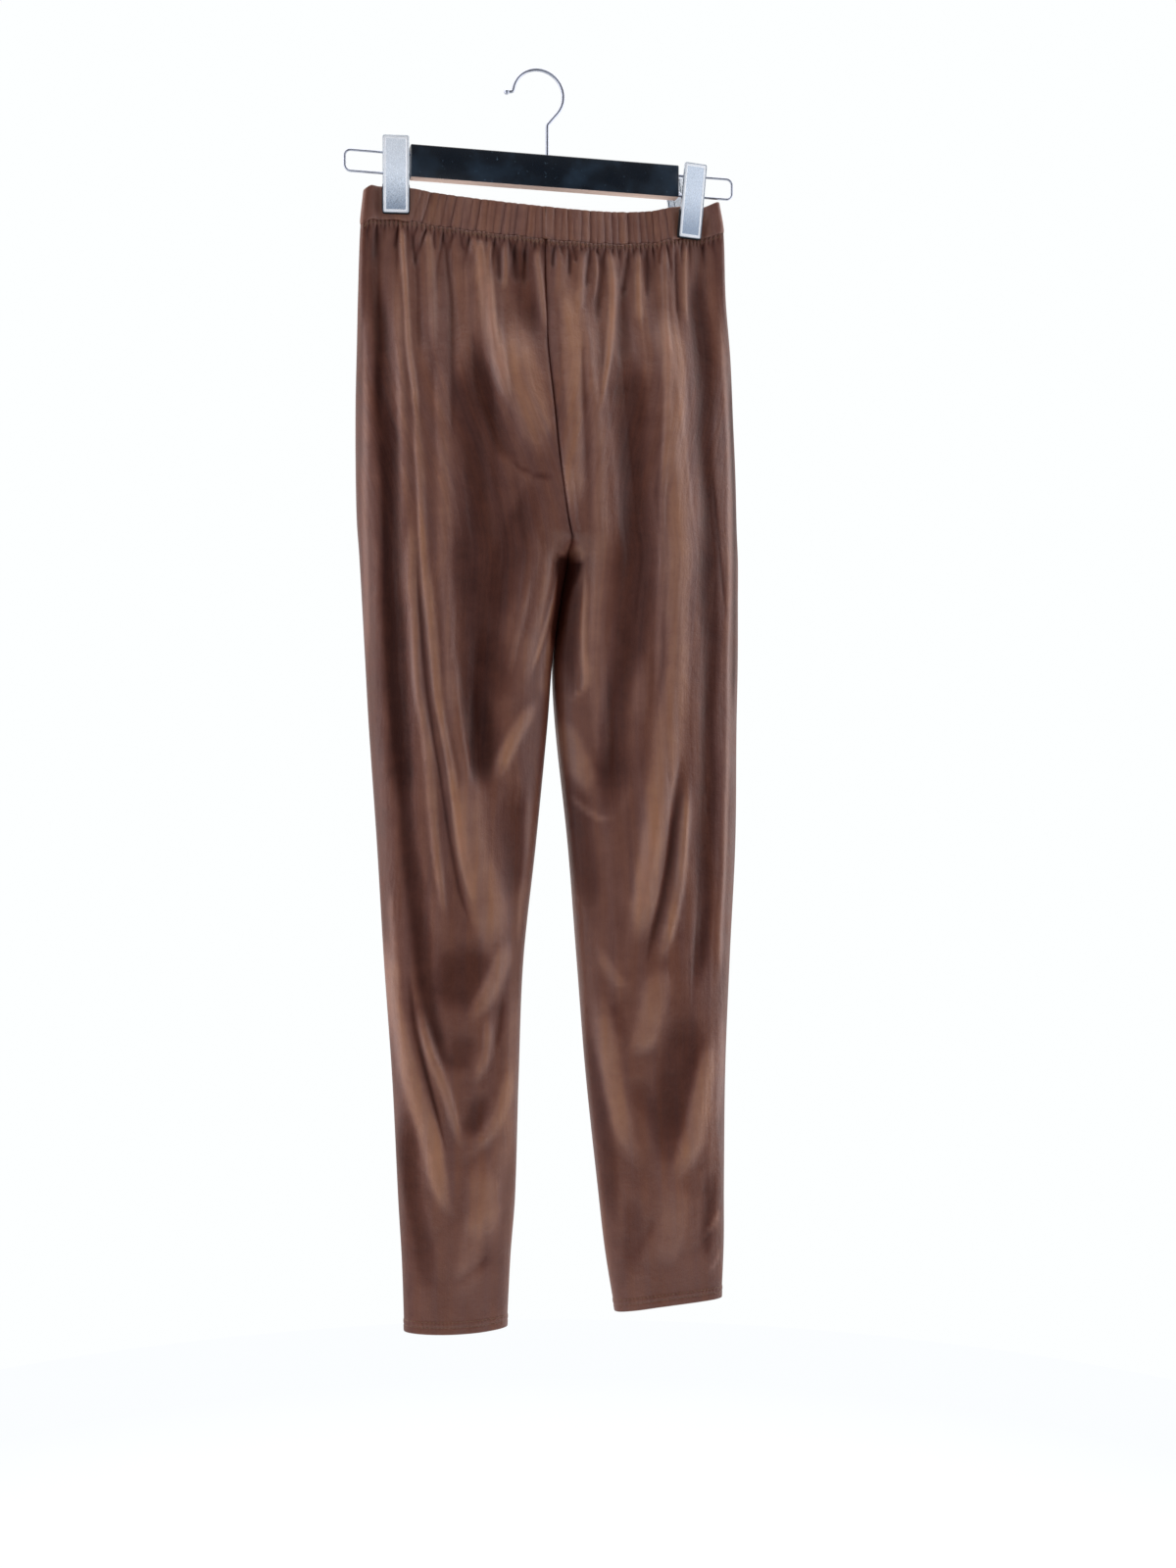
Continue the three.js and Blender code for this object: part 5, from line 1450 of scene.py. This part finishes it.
def add_clip(clip, plate_metal, rim_metal, rubber, spring_wire):
    for face in ("front", "back"):
        front = face == "front"
        plate = clip_plate(f"{clip.side}_clip_{face}_jaw", front, plate_metal, rim_metal)
        place_clip_piece(plate, clip)
        finish_piece(plate, "clip_plate", plate_metal, f"clip_{clip.side}_{face}_plate")
        pad = place_clip_piece(clip_pad(f"{clip.side}_clip_{face}_rubber", front), clip)
        finish_piece(pad, "clip_pad", rubber, f"clip_{clip.side}_{face}_pad")
    spring = clip_spring(f"{clip.side}_clip_coil", clip)
    finish_piece(spring, "wire", spring_wire, f"clip_{clip.side}_spring")


def add_hanger():
    wire = chromed_wire()
    add_hook(wire)
    add_rail(wire)
    add_bar(gloss_paint(), floor_reflection_finish())
    rim_metal, rubber = near_white_rim(), black_rubber()
    # the right clip is greyer all the way up
    plate_metals = satin_steel("satin nickel plate", 0, 0.15), satin_steel("handled nickel plate", 0.35, 0.8)
    for clip, plate_metal in zip(CLIPS, plate_metals):
        add_clip(clip, plate_metal, rim_metal, rubber, wire)


# ------------------------------------------------------------------ sewing
def on_cloth(half, face, share, z, stand):
    """Places on the outside of a panel, stand millimetres out from its middle, and the way out."""
    step = 0.002
    here = cloth_middle(half, face, share, z)[0]
    sideways = cloth_middle(half, face, np.clip(share + step, 0, 1), z)[0] - here
    down = cloth_middle(half, face, share, z - 0.5)[0] - here
    out = unit(np.cross(down, sideways)) * rightward(half) * -face.sign
    return here + out * stand, out


def stitch_row(name, starts, ends, out, material):
    """Threads over the cloth from starts to ends, a small tube each that dips in at both ends."""
    sides = 6
    along = ends - starts
    across = unit(np.cross(along, out))
    shares = np.array([0, 0.18, 0.5, 0.82, 1])
    heights = np.array([-0.9, 0.35, 0.7, 0.35, -0.9]) * THREAD / 2
    radii = np.array([0.55, 1, 1.05, 1, 0.55]) * THREAD / 2
    centres = starts[:, None] + along[:, None] * shares[:, None] + out[:, None] * heights[:, None]
    angles = 2 * np.pi * np.arange(sides) / sides
    ring = (np.cos(angles)[:, None] * across[:, None, None] + np.sin(angles)[:, None] * out[:, None, None])
    verts = centres[:, :, None] + radii[:, None, None] * ring
    per = len(shares) * sides
    faces = []
    for i in range(len(starts)):
        first = i * per
        for level in range(len(shares) - 1):
            a, b = first + level * sides, first + (level + 1) * sides
            faces += [(a + k, a + (k + 1) % sides, b + (k + 1) % sides, b + k) for k in range(sides)]
        last = first + per - sides
        faces.append(tuple(first + k for k in reversed(range(sides))))
        faces.append(tuple(last + k for k in range(sides)))
    mesh = bpy.data.meshes.new(name)
    mesh.from_pydata((verts.reshape(-1, 3) * MM).tolist(), [], faces)
    piece = bpy.data.objects.new(name, mesh)
    bpy.context.collection.objects.link(piece)
    smooth(piece, 50)
    return finish_piece(piece, "cloth", material)


def add_zigzag(half, face, thread):
    """Zigzag under the waistband's seam, a stitch up and a stitch down in turn."""
    width = abs(half.levels[0].outer - half.levels[0].inner)
    count = round(width / ZIGZAG["step"])
    share = np.arcsin(np.linspace(0.01, 0.985, count + 1)) * 2 / np.pi
    z = WAIST_SEAM_Z - ZIGZAG["drop"] - ZIGZAG["height"] * (np.arange(count + 1) % 2)
    places, out = on_cloth(half, face, share, z, CLOTH_WALL / 2)
    stitch_row(f"waist_zigzag_{face.side}_{half.side}", places[:-1], places[1:], out[:-1], thread)


def add_hem_stitches(half, face, thread):
    """Two even rows of stitches along the hem."""
    wide = abs(half.levels[-1].outer - half.levels[-1].inner) * 1.08
    pitch = TWIN_NEEDLE["stitch"] + TWIN_NEEDLE["gap"]
    count = round(wide / pitch)
    cell = 1 / count
    first = (np.arange(count) + 0.1) * cell
    last = first + cell * TWIN_NEEDLE["stitch"] / pitch
    stand = CLOTH_WALL / 2 + HEM_SWELL - TWIN_NEEDLE["sink"]
    rows = []
    for height in TWIN_NEEDLE["rows"]:
        level = np.full(count, half.hem_z + height)
        ends = [on_cloth(half, face, np.arccos(1 - 2 * even) / np.pi, level, stand) for even in (first, last)]
        rows.append((ends[0][0], ends[1][0], ends[0][1]))
    starts, stops, out = (np.concatenate(part) for part in zip(*rows))
    stitch_row(f"hem_stitches_{face.side}_{half.side}", starts, stops, out, thread)


# ------------------------------------------------------------------ make it all
add_camera()
add_world()
add_lights()
add_floor()
add_leggings(coated_jersey())
thread = sewing_thread()
for half in HALVES:
    for face in FACES:
        add_zigzag(half, face, thread)
        add_hem_stitches(half, face, thread)
add_hanger()
